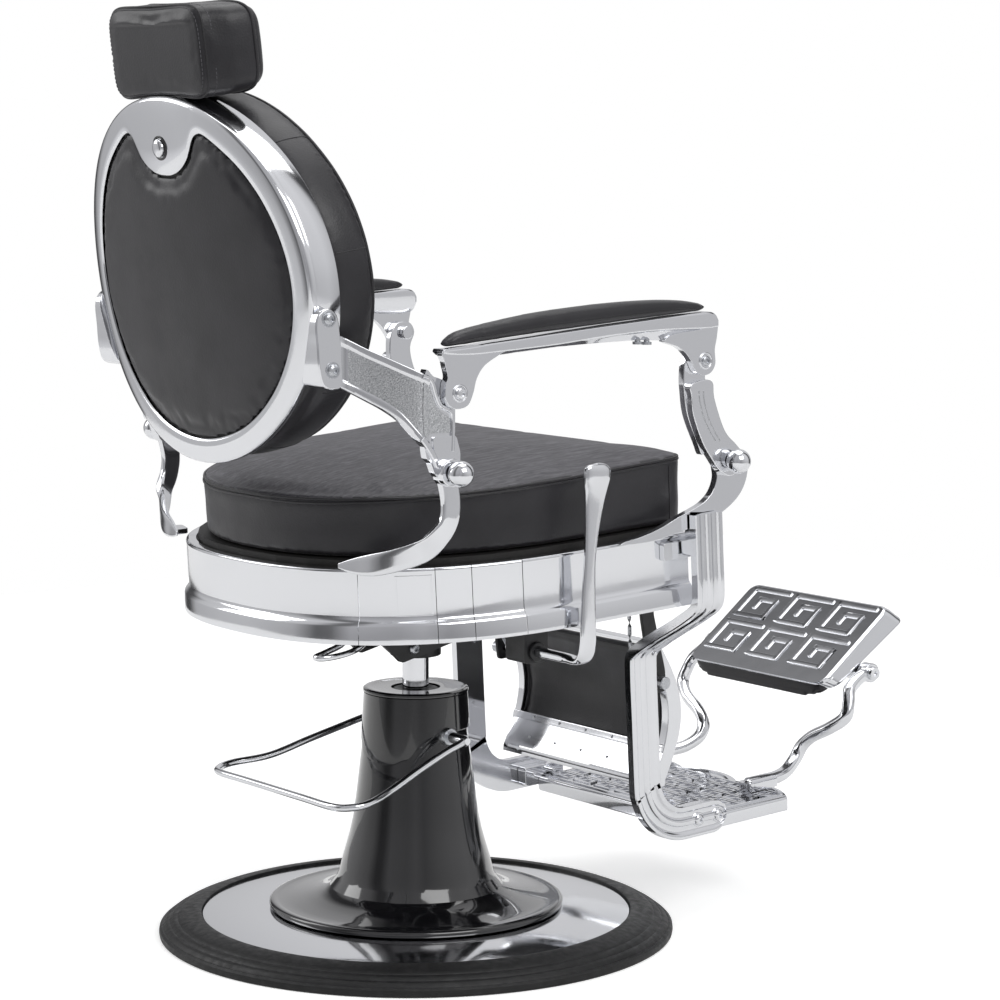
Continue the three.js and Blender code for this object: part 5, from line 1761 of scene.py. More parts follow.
@dataclass
class Footrest:
    """The foot platform, the two bent arms and the flip-over plate with its meander tread."""

    half: float = 167.0
    rear: float = -300.0
    front: float = -490.0
    low: float = 91.0
    top: float = 113.0
    arm_x: float = 156.0
    pivot: Flat = (-621.4, 249.0)
    bar: float = 8.0
    plate_half: float = 144.0
    length: float = 150.2
    slope: float = 34.2
    skirt: float = 29.0
    thin: float = 0.6
    flare: float = 7.0

    def build(self) -> None:
        """Builds the platform, the arms and the plate."""
        self.build_platform()
        self.build_arms()
        self.build_plate()

    def build_platform(self) -> None:
        """The cast platform: three shallow bays in its front edge, ears and a ribbed tread."""
        bays = []
        for i in range(49):
            s = i / 48
            x = self.half * (1 - 2 * s)
            bays.append((
                x, self.front + 30 - 18 * abs(math.sin(math.pi * s * 3)) ** 0.8
                - 12 * (1 - (x / self.half) ** 2),
            ))
        outline = [
            (-self.half, self.rear - 8), (-self.half + 2.4, self.rear - 2.4),
            (-self.half + 8, self.rear), (self.half - 8, self.rear),
            (self.half - 2.4, self.rear - 2.4), (self.half, self.rear - 8), *bays,
        ]
        rings = []
        for z, draw in ((self.low, 1.5), (self.low + 1.5, 0.2), (self.top - 7, 0.0),
                        (self.top - 3.6, 1.0), (self.top - 2.6, 3.0), (self.top - 2.4, 6.0)):
            rings.append([(x, y, z) for x, y in inset(outline, draw)])
        body = skin(rings)
        ear = slab(
            rounded([(self.rear - 44, 100), (self.rear + 22, 100), (self.rear + 22, 126),
                     (self.rear - 44, 126)], 6), self.half - 6, 177.6,
        )
        body.join(ear, ear.on(Side.RIGHT))
        tread = Shell()
        rim = [(x, y) for x, y in inset(outline, 9)]
        tread.join(band(rim, 3.2, self.top - 3, self.top - 0.6, Axis.Z))
        for row in range(6):
            for column in range(7):
                x = (column - 3) * 44.0
                y = self.rear - 30 - row * 24.0
                tread.join(self.meander(x, y, 38.0, 19.0, 3.2, self.top - 3, self.top - 0.4))
        Piece(
            "platform_casting", body, CHROME, "seat", "chrome", SEAT, bevel=0.9,
            replaces=("foot_platform",),
        ).build()
        Piece("platform_tread", tread, CHROME, "seat", "chrome", SEAT, bevel=0.4).build()

    def meander(
        self, x: float, y: float, wide: float, deep: float, line: float, low: float, high: float
    ) -> Shell:
        """A squared spiral of raised bars, the old key pattern.

        Args:
            x: The middle of the motif.
            y: The middle of the motif.
            wide: Its reach along X.
            deep: Its reach along Y.
            line: The width of a bar.
            low: Where the bars start.
            high: Their top.

        Returns:
            The shell.
        """
        u, v = wide / 2, deep / 2
        corners = [(-u, -v), (u, -v), (u, v), (-0.62 * u, v), (-0.62 * u, -0.28 * v),
                   (0.28 * u, -0.28 * v), (0.28 * u, 0.32 * v)]
        bars = Shell()
        half = line / 2
        for (x0, y0), (x1, y1) in zip(corners, corners[1:]):
            a, b = min(x0, x1) - half, max(x0, x1) + half
            c, d = min(y0, y1) - half, max(y0, y1) + half
            bars.join(slab(
                [(x + a, y + c), (x + b, y + c), (x + b, y + d), (x + a, y + d)], low, high,
                Axis.Z,
            ))
        return bars

    def build_arms(self) -> None:
        """The two bent bars that carry the plate's pivot, each with a screwed foot and an eye."""
        z = self.top + 0.3 + self.bar
        py, pz = self.pivot
        path = [
            (112, -440, z), (112, -470, z), (111, -492, z), (104, -516, z + 3), (98, -538, 136),
            (101, -548, 152), (117, -553, 167), (146, -558, 182), (166, -568, 198),
            (165, -576, 216), (159, -584, 232), (self.arm_x, py + 17, pz - 5),
            (self.arm_x, py, pz),
        ]
        arm = swept(
            flowing(path, 6, closed=False), ellipse(2 * self.bar, 2 * self.bar, 0.7, 24),
            (0.2, 0.3, 1),
        )
        b = self.bar
        eye = turned(
            [(5.1, -b), (12, -b), (13, 1 - b), (13, b - 1), (12, b), (5.1, b), (5.1, -b)],
            (self.arm_x, py, pz), Axis.X, 40,
        )
        foot = slab(
            rounded([(98, -484), (126, -484), (126, -432), (98, -432)], 9), self.top + 0.3,
            self.top + 11, Axis.Z,
        )
        arm.join(eye, foot, button_head((112, -442, self.top + 11), 7, 4, Axis.Z))
        for side in Side:
            Piece(
                side.named("rest_arm"), arm.on(side), CHROME, "seat", "chrome", SEAT, bevel=0.8,
                replaces=(side.named("footrest_arm"),),
            ).build()

    def plate_ring(self, grow: float, z: float) -> list[Point]:
        """A rounded rectangle of the plate, drawn out or in, whose skirt thins down the slope.

        Args:
            grow: How far out it is drawn.
            z: Its height over the plate.

        Returns:
            The ring.
        """
        h = self.plate_half - self.flare + grow
        y0, y1 = self.flare - grow, -self.length - grow + self.flare
        r, ring = 14.0, []
        for cx, cy, a0 in ((h - r, y0 - r, 0), (r - h, y0 - r, 90), (r - h, y1 + r, 180),
                           (h - r, y1 + r, 270)):
            for i in range(9):
                a = math.radians(a0 + i * 11.25)
                x, y = cx + r * math.cos(a), cy + r * math.sin(a)
                share = self.thin + (1 - self.thin) * min(1.0, -y / self.length)
                ring.append((x, y, z * share if z < -6 else z))
        return ring

    def build_plate(self) -> None:
        """The flared tray with its raised meander, the pivot lugs and the padded other face."""
        s, f = self.skirt, self.flare
        rings = [
            self.plate_ring(-3, -5), self.plate_ring(-2, -8), self.plate_ring(f - 3, -s),
            self.plate_ring(f - 0.8, -s), self.plate_ring(f, -s + 0.8),
            self.plate_ring(f, -s + 3.4), self.plate_ring(f - 1.4, -s + 8),
            self.plate_ring(2.6, -9), self.plate_ring(1.2, -5.4), self.plate_ring(0.2, -2.6),
            self.plate_ring(-1, -1), self.plate_ring(-2.6, -0.2), self.plate_ring(-4.4, 0),
        ]
        tray = skin(rings)
        py, pz = self.pivot
        lean = math.radians(self.slope)
        dy, dz = py + 562.7, pz - 247.2
        y = dy * math.cos(lean) - dz * math.sin(lean)
        z = dy * math.sin(lean) + dz * math.cos(lean)
        x0, x1 = self.plate_half - f - 14, self.plate_half - f - 6
        lug = slab(
            rounded([(y - 20, -4), (y + 20, -4), (y + 11, z - 10), (y - 11, z - 10)], 6), x0, x1,
        )
        edge = self.arm_x + self.bar
        pin = turned(
            [(0, x0), (9, x0), (9, edge - 2 * self.bar - 0.3), (5, edge - 2 * self.bar - 0.3),
             (5, edge + 0.3), (9, edge + 0.3), (9, edge + 4), (8, edge + 6), (3.2, edge + 6),
             (3, edge + 3.4), (0, edge + 3.4)],
            (0, y, z), Axis.X, 32,
        )
        tray.join(lug, pin, lug.on(Side.RIGHT), pin.on(Side.RIGHT))
        Piece(
            "plate_tray", tray, CHROME, "footplate", "chrome", PLATE, bevel=0.5,
            replaces=("footplate_tread",),
        ).build()
        relief = Shell()
        for column in (-1, 0, 1):
            for row in (-0.5, 0.5):
                relief.join(self.meander(
                    column * 86.0, -self.length / 2 + row * 66.0, 70.0, 50.0, 6.4, -0.6, 2.0
                ))
        Piece("plate_relief", relief, CHROME, "footplate", "chrome", PLATE, bevel=0.7).build()
        pad = Cushion(
            "plate_pad",
            skin([
                self.plate_ring(-8, -5.6), self.plate_ring(-5, -9), self.plate_ring(-5, -s + 2),
                self.plate_ring(-9, -s - 4), self.plate_ring(-22, -s - 7),
                self.plate_ring(-40, -s - 8),
            ]),
            LEATHER, "footplate", "upholstery_dark", PLATE, replaces=("footplate_pad",),
            stuffing=Stuffing(
                2.5, voxel=5.0, fill=0.7, held=lambda p: max(0.0, min(1.0, (p.z + 22) / 8)),
            ),
        )
        _, face = pad.make()
        pad.trim("plate_pad_welt", face.welt(self.plate_ring(-7, -s - 4), 1.6, 0.4), THREAD)


@dataclass
class CalfRest:
    """The bowed calf pad in its bright frame, hung on two black bars."""

    half: float = 157.0
    bottom: float = 165.0
    top: float = 345.0
    y: float = -247.0
    bulge: float = 32.0
    bar: float = 9.0
    depth: float = 21.0
    hang_y: float = -228.0
    peg_z: float = 298.0

    def bow(self, share: float) -> float:
        """How far forward the rest bows at a share of its height."""
        return self.bulge * math.sin(math.pi * min(1.0, max(0.0, share)))

    def sheet(
        self, s0: float, s1: float, front: float, rear: float, x0: float, x1: float,
        steps: int = 24,
    ) -> Shell:
        """A slab that follows the bowed side view between two shares of the height.

        Args:
            s0: The lower share of the height.
            s1: The upper share.
            front: How far it reaches forward.
            rear: How far it reaches to the rear.
            x0: Its left edge.
            x1: Its right edge.
            steps: How many spans follow the bow.

        Returns:
            The slab.
        """
        edges: list[list[Flat]] = []
        for offset in (rear, -front):
            row = []
            for i in range(steps + 1):
                s = s0 + (s1 - s0) * i / steps
                row.append((
                    self.y - self.bow(s) + offset, self.bottom + s * (self.top - self.bottom)
                ))
            edges.append(row)
        rings = []
        for (ya, za), (yb, zb) in zip(*edges):
            rings.append([(x0, ya, za), (x1, ya, za), (x1, yb, zb), (x0, yb, zb)])
        return skin(rings)

    def build(self) -> None:
        """Builds the pad, the frame, the hanging bars and their pegs."""
        inner = self.half - self.bar - 0.3
        pad = Cushion(
            "calf_cushion", self.sheet(0.02, 0.98, 8.4, 2.6, 1.8 - inner, inner - 1.8),
            LEATHER, "seat", "upholstery_dark", SEAT, replaces=("calf_pad",),
            stuffing=Stuffing(2.2, voxel=4.5, fill=0.6),
        )
        _, face = pad.make()
        rim = []
        for s, x in ((0.05, -1), (0.05, 1), (0.95, 1), (0.95, -1)):
            rim.append((x * (inner - 8), self.y - self.bow(s) + 5,
                        self.bottom + s * (self.top - self.bottom)))
        run: list[Vector] = []
        for i in range(4):
            a, b = Vector(rim[i]), Vector(rim[(i + 1) % 4])
            run += [a.lerp(b, k / 16) for k in range(16)]
        pad.trim("calf_rear_seam", face.welt(run, 0.9, 0.2), THREAD)
        side = self.sheet(-0.03, 1.03, self.depth - 8, 8, inner + 0.3, self.half)
        strip = self.sheet(0.24, 1.0, -6.2, 8.6, inner - 3.6, self.half - 0.6)
        frame = side.join(side.on(Side.RIGHT), strip, strip.on(Side.RIGHT))
        panel = self.sheet(0.03, 0.22, -5, 8, 1 - self.half, self.half - 1, 8)
        shelf = self.sheet(0.215, 0.265, -4.6, 10.6, 1 - self.half, self.half - 1, 4)
        foot = self.sheet(-0.03, -0.004, 6, 8, 1 - self.half, self.half - 1, 2)
        head = self.sheet(1.004, 1.03, 6, 8, 1 - self.half, self.half - 1, 2)
        frame.join(panel, shelf, foot, head)
        rivets = Shell()
        for side_sign in (-1, 1):
            s = 0.74
            at = (side_sign * (inner - 8), self.y - self.bow(s) + 5.0,
                  self.bottom + s * (self.top - self.bottom))
            frame.join(turned(
                [(0, 0), (12, 0), (12, 2.6), (11, 3.6), (8, 3.6), (7.4, 3), (0, 3)], at,
                Axis.Y, 40,
            ))
            rivets.join(button_head((at[0], at[1] + 3, at[2]), 5.4, 2.6, Axis.Y))
        for k in range(5):
            for s, proud in ((0.24, 10.4), (0.1, 7.8)):
                rivets.join(turned(
                    [(0, 0), (2.3, 0), (2.1, 0.8), (1.2, 1.3), (0, 1.4)],
                    (-110 + 55.0 * k, self.y - self.bow(s) + proud,
                     self.bottom + s * (self.top - self.bottom)), Axis.Y, 14,
                ))
        Piece(
            "calf_surround", frame, CHROME, "seat", "chrome", SEAT, bevel=0.9,
            replaces=("calf_frame",),
        ).build()
        Piece("calf_rivets", rivets, ZINC, "seat", "zinc", SEAT, bevel=0).build()
        h = self.hang_y
        bar = slab(
            rounded([(h, 424), (h - 18, 424), (h - 20, 384), (h - 35, 312), (h - 35, 284),
                     (h - 12, 284), (h - 10, 312), (h, 384)], 5),
            self.half + 0.3, self.half + 6,
        )
        for x0, x1, y0, y1, z0, z1 in (
            (60, self.half + 6, h - 18, h, 416, 424), (60, 70, h - 18, -130, 416, 424),
            (56, 66, -150, -128, 416, 493.4),
        ):
            bar.join(slab([(x0, y0), (x1, y0), (x1, y1), (x0, y1)], z0, z1, Axis.Z))
        peg = turned(
            [(0, self.half + 0.3), (4, self.half + 0.3), (4, self.half + 6.3),
             (7.4, self.half + 6.3), (8, self.half + 7), (8, 176.8), (7.2, 177.7), (0, 177.7)],
            (0, h - 23, self.peg_z), Axis.X, 32,
        )
        stay = rod([(140, h + 4, 418), (140, h + 2, 380), (140, h + 1, 340),
                    (140, h - 16, 300)], 2.6, 4)
        for side_of in Side:
            Piece(
                side_of.named("hanger"), bar.on(side_of), SATIN, "seat", "black_paint", SEAT,
                bevel=0.8, replaces=(side_of.named("calf_bar"),),
            ).build()
            Piece(
                side_of.named("hanger_peg"), peg.on(side_of), ZINC, "seat", "zinc", SEAT,
                bevel=0, replaces=(side_of.named("calf_peg"),),
            ).build()
            Piece(
                side_of.named("calf_stay"), stay.on(side_of), ZINC, "seat", "zinc", SEAT, bevel=0
            ).build()


# ---------------------------------------------------------------- armrests


@dataclass
class ArmRests:
    """The cast arms with their slim pads, and the posts that join them to the front brackets."""

    middle: float = 311.0
    half: float = 11.0
    rear_hinge: Flat = (167.0, 712.0)
    front_hinge: Flat = (-199.0, 732.0)

    def build(self) -> None:
        """Builds both arms and both posts."""
        arm, post, screws, field_of_post = self.arm(), self.post(), self.screws(), self.furrow()
        for side in Side:
            body = side.named("armrest")
            Piece(
                side.named("arm_casting"), arm.on(side), CHROME, body, "chrome", bevel=1.4,
                segments=3, replaces=(side.named("arm_frame"),),
            ).build()
            Piece(side.named("arm_screws"), screws.on(side), ZINC, body, "zinc", bevel=0).build()
            self.build_pad(side, body)
            Piece(
                side.named("post_casting"), post.on(side), CHROME, side.named("post"), "chrome",
                bevel=1.3, segments=3, replaces=(side.named("arm_post"),),
            ).build()
            Piece(
                side.named("post_furrow"), field_of_post.on(side), CAST, side.named("post"),
                "chrome", bevel=0.4,
            ).build()

    def arm(self) -> Shell:
        """The arm's beam, its two hinge lugs on the outer half and the spigot in front.

        Returns:
            The arm casting of the left side.
        """
        inner, outer, split = 300.0, 322.0, self.middle + 0.3
        stations = [
            (190, 755, 759, 763), (176, 752, 757, 763.4), (150, 750, 756, 765),
            (120, 752, 757, 768), (70, 755, 759.5, 772), (22, 758, 762.4, 776),
            (-41, 760, 768, 781), (-98, 760.6, 771.4, 785), (-140, 758.6, 772.4, 788),
            (-180, 757, 772, 790), (-204, 757, 772, 790.8), (-214, 759, 772.6, 788),
            (-218.6, 763, 773, 782),
        ]
        rings = []
        for y, low, knee, top in (tuple(v) for v in flowing([Vector(s) for s in stations], 4,
                                                            closed=False)):
            rings.append([
                (inner + 6, y, low + 1), (outer - 7, y, low), (outer - 3, y, knee - 3),
                (outer - 0.4, y, knee - 0.6), (outer, y, knee + 1), (outer, y, top - 2.4),
                (outer - 1.6, y, top - 0.3), (outer - 3, y, top), (inner + 3, y, top),
                (inner + 1.6, y, top - 0.3), (inner, y, top - 2.4), (inner, y, knee),
            ])
        beam = skin(rings)
        rear = slab(
            [(p.x, p.y) for p in flowing([
                (189, 762), (188, 748), (184, 732), (187, 722), (186.6, 706), (178, 696.4),
                (166, 694.6), (154.6, 699), (148, 712), (143, 728), (132, 742), (112, 753),
                (100, 760), (140, 766),
            ], 5)], split, outer - 0.6,
        )
        front = slab(
            [(p.x, p.y) for p in flowing([
                (-216, 778), (-217, 762), (-213.6, 745), (-214.6, 728), (-208, 717.6),
                (-197, 714.6), (-185, 719), (-178, 730), (-168, 742), (-155, 751),
                (-134, 758), (-150, 766), (-190, 770),
            ], 5)], split, outer - 0.6,
        )
        spigot = turned(
            [(0, 293), (8, 293), (9, 294), (9, 299.7), (4, 299.7), (4, 314), (0, 314)],
            (0, *self.front_hinge), Axis.X, 32,
        )
        bosses = Shell()
        for y, z in (self.rear_hinge, self.front_hinge):
            bosses.join(turned(
                [(4.2, outer - 2), (10.4, outer - 2), (10.4, outer + 0.2), (9.4, outer + 1),
                 (8.2, outer + 1), (7.8, outer + 0.2), (4.2, outer + 0.2), (4.2, outer - 2)],
                (0, y, z), Axis.X, 36,
            ))
        return beam.join(rear, front, spigot, bosses)

    def screws(self) -> Shell:
        """The socket screw heads in the hinge bosses and the pad's screws under the front.

        Returns:
            The screw heads of the left side.
        """
        heads = button_head((322.2, *self.front_hinge), 6.2, 2.6)
        for y, z in ((-98, 756), (-112, 755)):
            heads.join(turned(
                [(0, 0), (6, 0), (6, 3), (3.4, 3.6), (3.4, 6.4), (0, 6.4)],
                (self.middle + 4, y, z), Axis.Z, 18,
            ))
        return heads

    def build_pad(self, side: Side, body: str) -> None:
        """The slim crowned pad, pointed at both ends and thickest in the middle.

        Args:
            side: The side of the chair.
            body: The body that it rides on.
        """
        stations = [
            (186, 763.4, 769, 5), (180, 763.8, 773, 9), (168, 765, 780, 12),
            (145, 767.6, 785, 13.4), (110, 770.6, 790.6, 14.4), (60, 774.6, 797.4, 15),
            (10, 778, 801.6, 15.4), (-41, 781.6, 804.8, 15.6), (-90, 785, 806.4, 15.4),
            (-130, 787.6, 806.4, 15), (-165, 789.6, 804.6, 14), (-188, 790.6, 801.4, 11.6),
            (-198, 791, 799, 8.4), (-203, 791.6, 796.6, 5),
        ]
        rings = []
        for y, low, high, w in (tuple(v) for v in flowing([Vector(s) for s in stations], 3,
                                                          closed=False)):
            mid, tall = (low + high) / 2 + 0.6, (high - low) / 2 - 0.5
            ring = []
            for j in range(24):
                a = 2 * math.pi * j / 24
                c, s = math.cos(a), math.sin(a)
                power = 0.62 if s < 0 else 0.9
                ring.append((
                    side.value * (self.middle + (w - 0.6) * math.copysign(abs(c) ** power, c)),
                    y, mid + tall * math.copysign(abs(s) ** power, s),
                ))
            rings.append(ring)
        pad = Cushion(
            side.named("arm_cushion"), skin(rings, ends=True), LEATHER, body,
            "upholstery_dark", replaces=(side.named("arm_pad"),),
            stuffing=Stuffing(0.9, voxel=4.0, fill=0.8), smoothing=6,
        )
        _, face = pad.make()
        run = [ring[13 if k else 23] for k in (0, 1) for ring in
               (rings[2:-2] if not k else rings[2:-2][::-1])]
        pad.trim(side.named("arm_cushion_seam"), face.welt(run, 0.8, 0.1), THREAD)

    def post(self) -> Shell:
        """The S-shaped post: two layers, an upper lug inside and a lower lug outside.

        Returns:
            The post of the left side.
        """
        inner_outline = [
            (-186, 745), (-176, 730), (-174, 712), (-175, 697), (-180, 667), (-196, 633),
            (-206, 617), (-218, 648), (-227, 656), (-213, 687), (-208, 712), (-215, 732),
            (-206, 746),
        ]
        inner = slab([(p.x, p.y) for p in flowing(inner_outline, 4)], 300.2, 310.7)
        outer_outline = [
            (-176, 703), (-178, 690), (-181, 667), (-196, 633), (-211, 612), (-223, 598),
            (-240, 590), (-256, 597), (-261, 614), (-250, 628), (-236, 640), (-226, 656),
            (-214, 687), (-211, 706), (-194, 709),
        ]
        outer = slab([(p.x, p.y) for p in flowing(outer_outline, 4)], 309.6, 321)
        return inner.join(outer)

    def furrow(self) -> Shell:
        """The raised lips along the long narrow recess in the post's outer face.

        Returns:
            The lips.
        """
        spine = flowing([
            (321, -192.6, 696), (321, -194, 684), (321, -199.6, 666), (321, -208.6, 649),
            (321, -219.6, 634),
        ], 6, closed=False)
        lips = Shell()
        for offset in (-3.4, 3.4):
            lips.join(swept(
                [Vector((p.x - 0.3, p.y + offset, p.z)) for p in spine],
                ellipse(1.7, 1.9, sides=8), (1, 0, 0),
            ))
        return lips


# ---------------------------------------------------------------- backrest


@dataclass
class BackPlates:
    """The castings that carry the drum: a sanded field, a polished rim and a screwed boss."""

    inner: float = 300.0
    outer: float = 314.0
    boss_out: float = 246.0
    lip: float = 9.0
    recess: float = 2.4

    def loft(self) -> list[Vector]:
        """The stations of the arm as (y, low, high, share of the sweep inwards).

        Returns:
            The stations, from the pin to the drum.
        """
        marks = [
            (203, 648, 733, 0), (214, 659, 738, 0.05), (228, 680, 746, 0.25),
            (240, 693, 754, 0.48), (254, 704, 763, 0.74), (267, 713, 772, 0.93),
            (276, 718, 777, 1), (288, 722, 781, 1),
        ]
        return flowing([Vector(m) for m in marks], 5, closed=False)

    def x_at(self, share: float, outside: bool) -> float:
        """The inner or outer face's X at a share of the inward sweep.

        Args:
            share: The share of the sweep.
            outside: Whether it is the outer face.

        Returns:
            The X.
        """
        start = self.outer if outside else self.inner
        end = self.boss_out if outside else 237.0
        return start + share * (end - start)

    def build(self) -> None:
        """Builds both castings with their fields, screws and hinge pins."""
        rings = []
        fields = []
        for y, low, high, share in (tuple(v) for v in self.loft()):
            a, b, p, r = self.x_at(share, False), self.x_at(share, True), self.lip, self.recess
            rings.append([
                (a, y, low + 1), (a + 1, y, low), (b - 1.4, y, low), (b, y, low + 1.4),
                (b, y, low + p - 2), (b - 0.7, y, low + p), (b - r, y, low + p + 2),
                (b - r, y, high - p - 2), (b - 0.7, y, high - p), (b, y, high - p + 2),
                (b, y, high - 1.4), (b - 1.4, y, high), (a + 1, y, high), (a, y, high - 1),
            ])
            if 206 < y < 270:
                fields.append([
                    (b - r - 1, y, low + p + 1.6), (b - r + 0.3, y, low + p + 1.6),
                    (b - r + 0.3, y, high - p - 1.6), (b - r - 1, y, high - p - 1.6),
                ])
        casting = skin(rings)
        web = slab(
            [(p.x, p.y) for p in flowing([
                (208, 735), (196, 732), (184, 728), (170, 722), (166, 700), (166, 664),
                (163, 640), (164, 622), (175, 612), (192, 618), (200, 634), (208, 650),
            ], 4)], self.inner, 310.7,
        )
        rim = swept(
            flowing([
                (311, 212, 733.6), (311, 204, 731), (311, 198, 724), (311, 194, 712),
                (311, 188, 699.6), (311, 179, 694.4), (311, 171.6, 689), (311, 170, 676),
                (311, 170.4, 660), (311, 171, 646),
            ], 4, closed=False),
            [(-2.6, -1), (2.6, -1), (2.6, 1.6), (1.4, 2.8), (-1.4, 2.8), (-2.6, 1.6)], (1, 0, 0),
        )
        low_rim = swept(
            flowing([(311, 213, 663), (311, 204, 652), (311, 196, 640), (311, 191, 630)], 4,
                    closed=False),
            [(-3.6, -1), (3.6, -1), (3.6, 1.6), (2.4, 2.8), (-2.4, 2.8), (-3.6, 1.6)], (1, 0, 0),
        )
        eye = turned(
            [(5.2, 309.6), (15.6, 309.6), (16.4, 310.4), (16.4, 319), (15.4, 320),
             (5.2, 320), (5.2, 309.6)], (0, 175, 622), Axis.X, 48,
        )
        cheek = slab(
            rounded([(161, 622), (189, 622), (197, 646), (199, 664), (166, 664), (160, 644)], 5),
            309, 313,
        )
        casting.join(web, rim, low_rim, eye, cheek, self.boss())
        field_piece = skin(fields).join(slab(
            [(p.x, p.y) for p in flowing([
                (210, 728), (203, 726), (198, 712), (193, 700), (184, 690), (174.6, 684),
                (173.6, 668), (182, 667), (198, 668), (210, 668),
            ], 3)], 310.2, 311.5,
        ))
        screws = Shell()
        for y, z in ((294.3, 797.3), (289.6, 739.3)):
            screws.join(
                turned([(0, 0), (9.6, 0), (9.6, 0.8), (0, 0.8)], (self.boss_out + 0.6, y, z),
                       Axis.X, 32),
                button_head((self.boss_out + 1.2, y, z), 7.4, 4.0),
            )
        pin = turned(
            [(0, 294), (8, 294), (9, 295), (9, 299.7), (4, 299.7), (4, 322.2), (6.6, 322.2),
             (6.6, 324.6), (5.6, 326), (3.2, 326.4), (3, 324), (0, 324)],
            (0, 167, 712), Axis.X, 36,
        )
        for side in Side:
            Piece(
                side.named("back_casting"), casting.on(side), CHROME, "backrest", "chrome",
                bevel=0.8, replaces=(side.named("back_plate"),),
            ).build()
            Piece(
                side.named("back_casting_field"), field_piece.on(side), CAST, "backrest",
                "chrome", bevel=0,
            ).build()
            Piece(
                side.named("back_screws"), screws.on(side), ZINC, "backrest", "zinc", bevel=0.3
            ).build()
            Piece(
                side.named("hinge_pin"), pin.on(side), CHROME, "backrest", "chrome", bevel=0.3,
                replaces=(side.named("rear_hinge_pin"),),
            ).build()

    def boss(self) -> Shell:
        """The tall screwed boss whose inner face follows the drum's band.

        Returns:
            The boss.
        """
        outline = flowing([
            (276, 722), (287, 717), (302, 722), (308, 742), (310, 766), (312, 790), (308, 803),
            (298, 809), (287, 806), (281, 796), (278, 776), (276, 750),
        ], 4)
        inner = []
        for p in outline:
            local = BACK.inverted() @ Vector((230, p.x, p.y))
            edge = 236.6 * math.sqrt(max(0.05, 1 - (local.z / 218.6) ** 2))
            inner.append((edge + 0.8, p.x, p.y))
        drawn = inset([(p.x, p.y) for p in outline], 1.6)
        outer = [(self.boss_out - 1, p.x, p.y) for p in outline]
        face = [(self.boss_out + 0.6, y, z) for y, z in drawn]
        return skin([inner, outer, face])


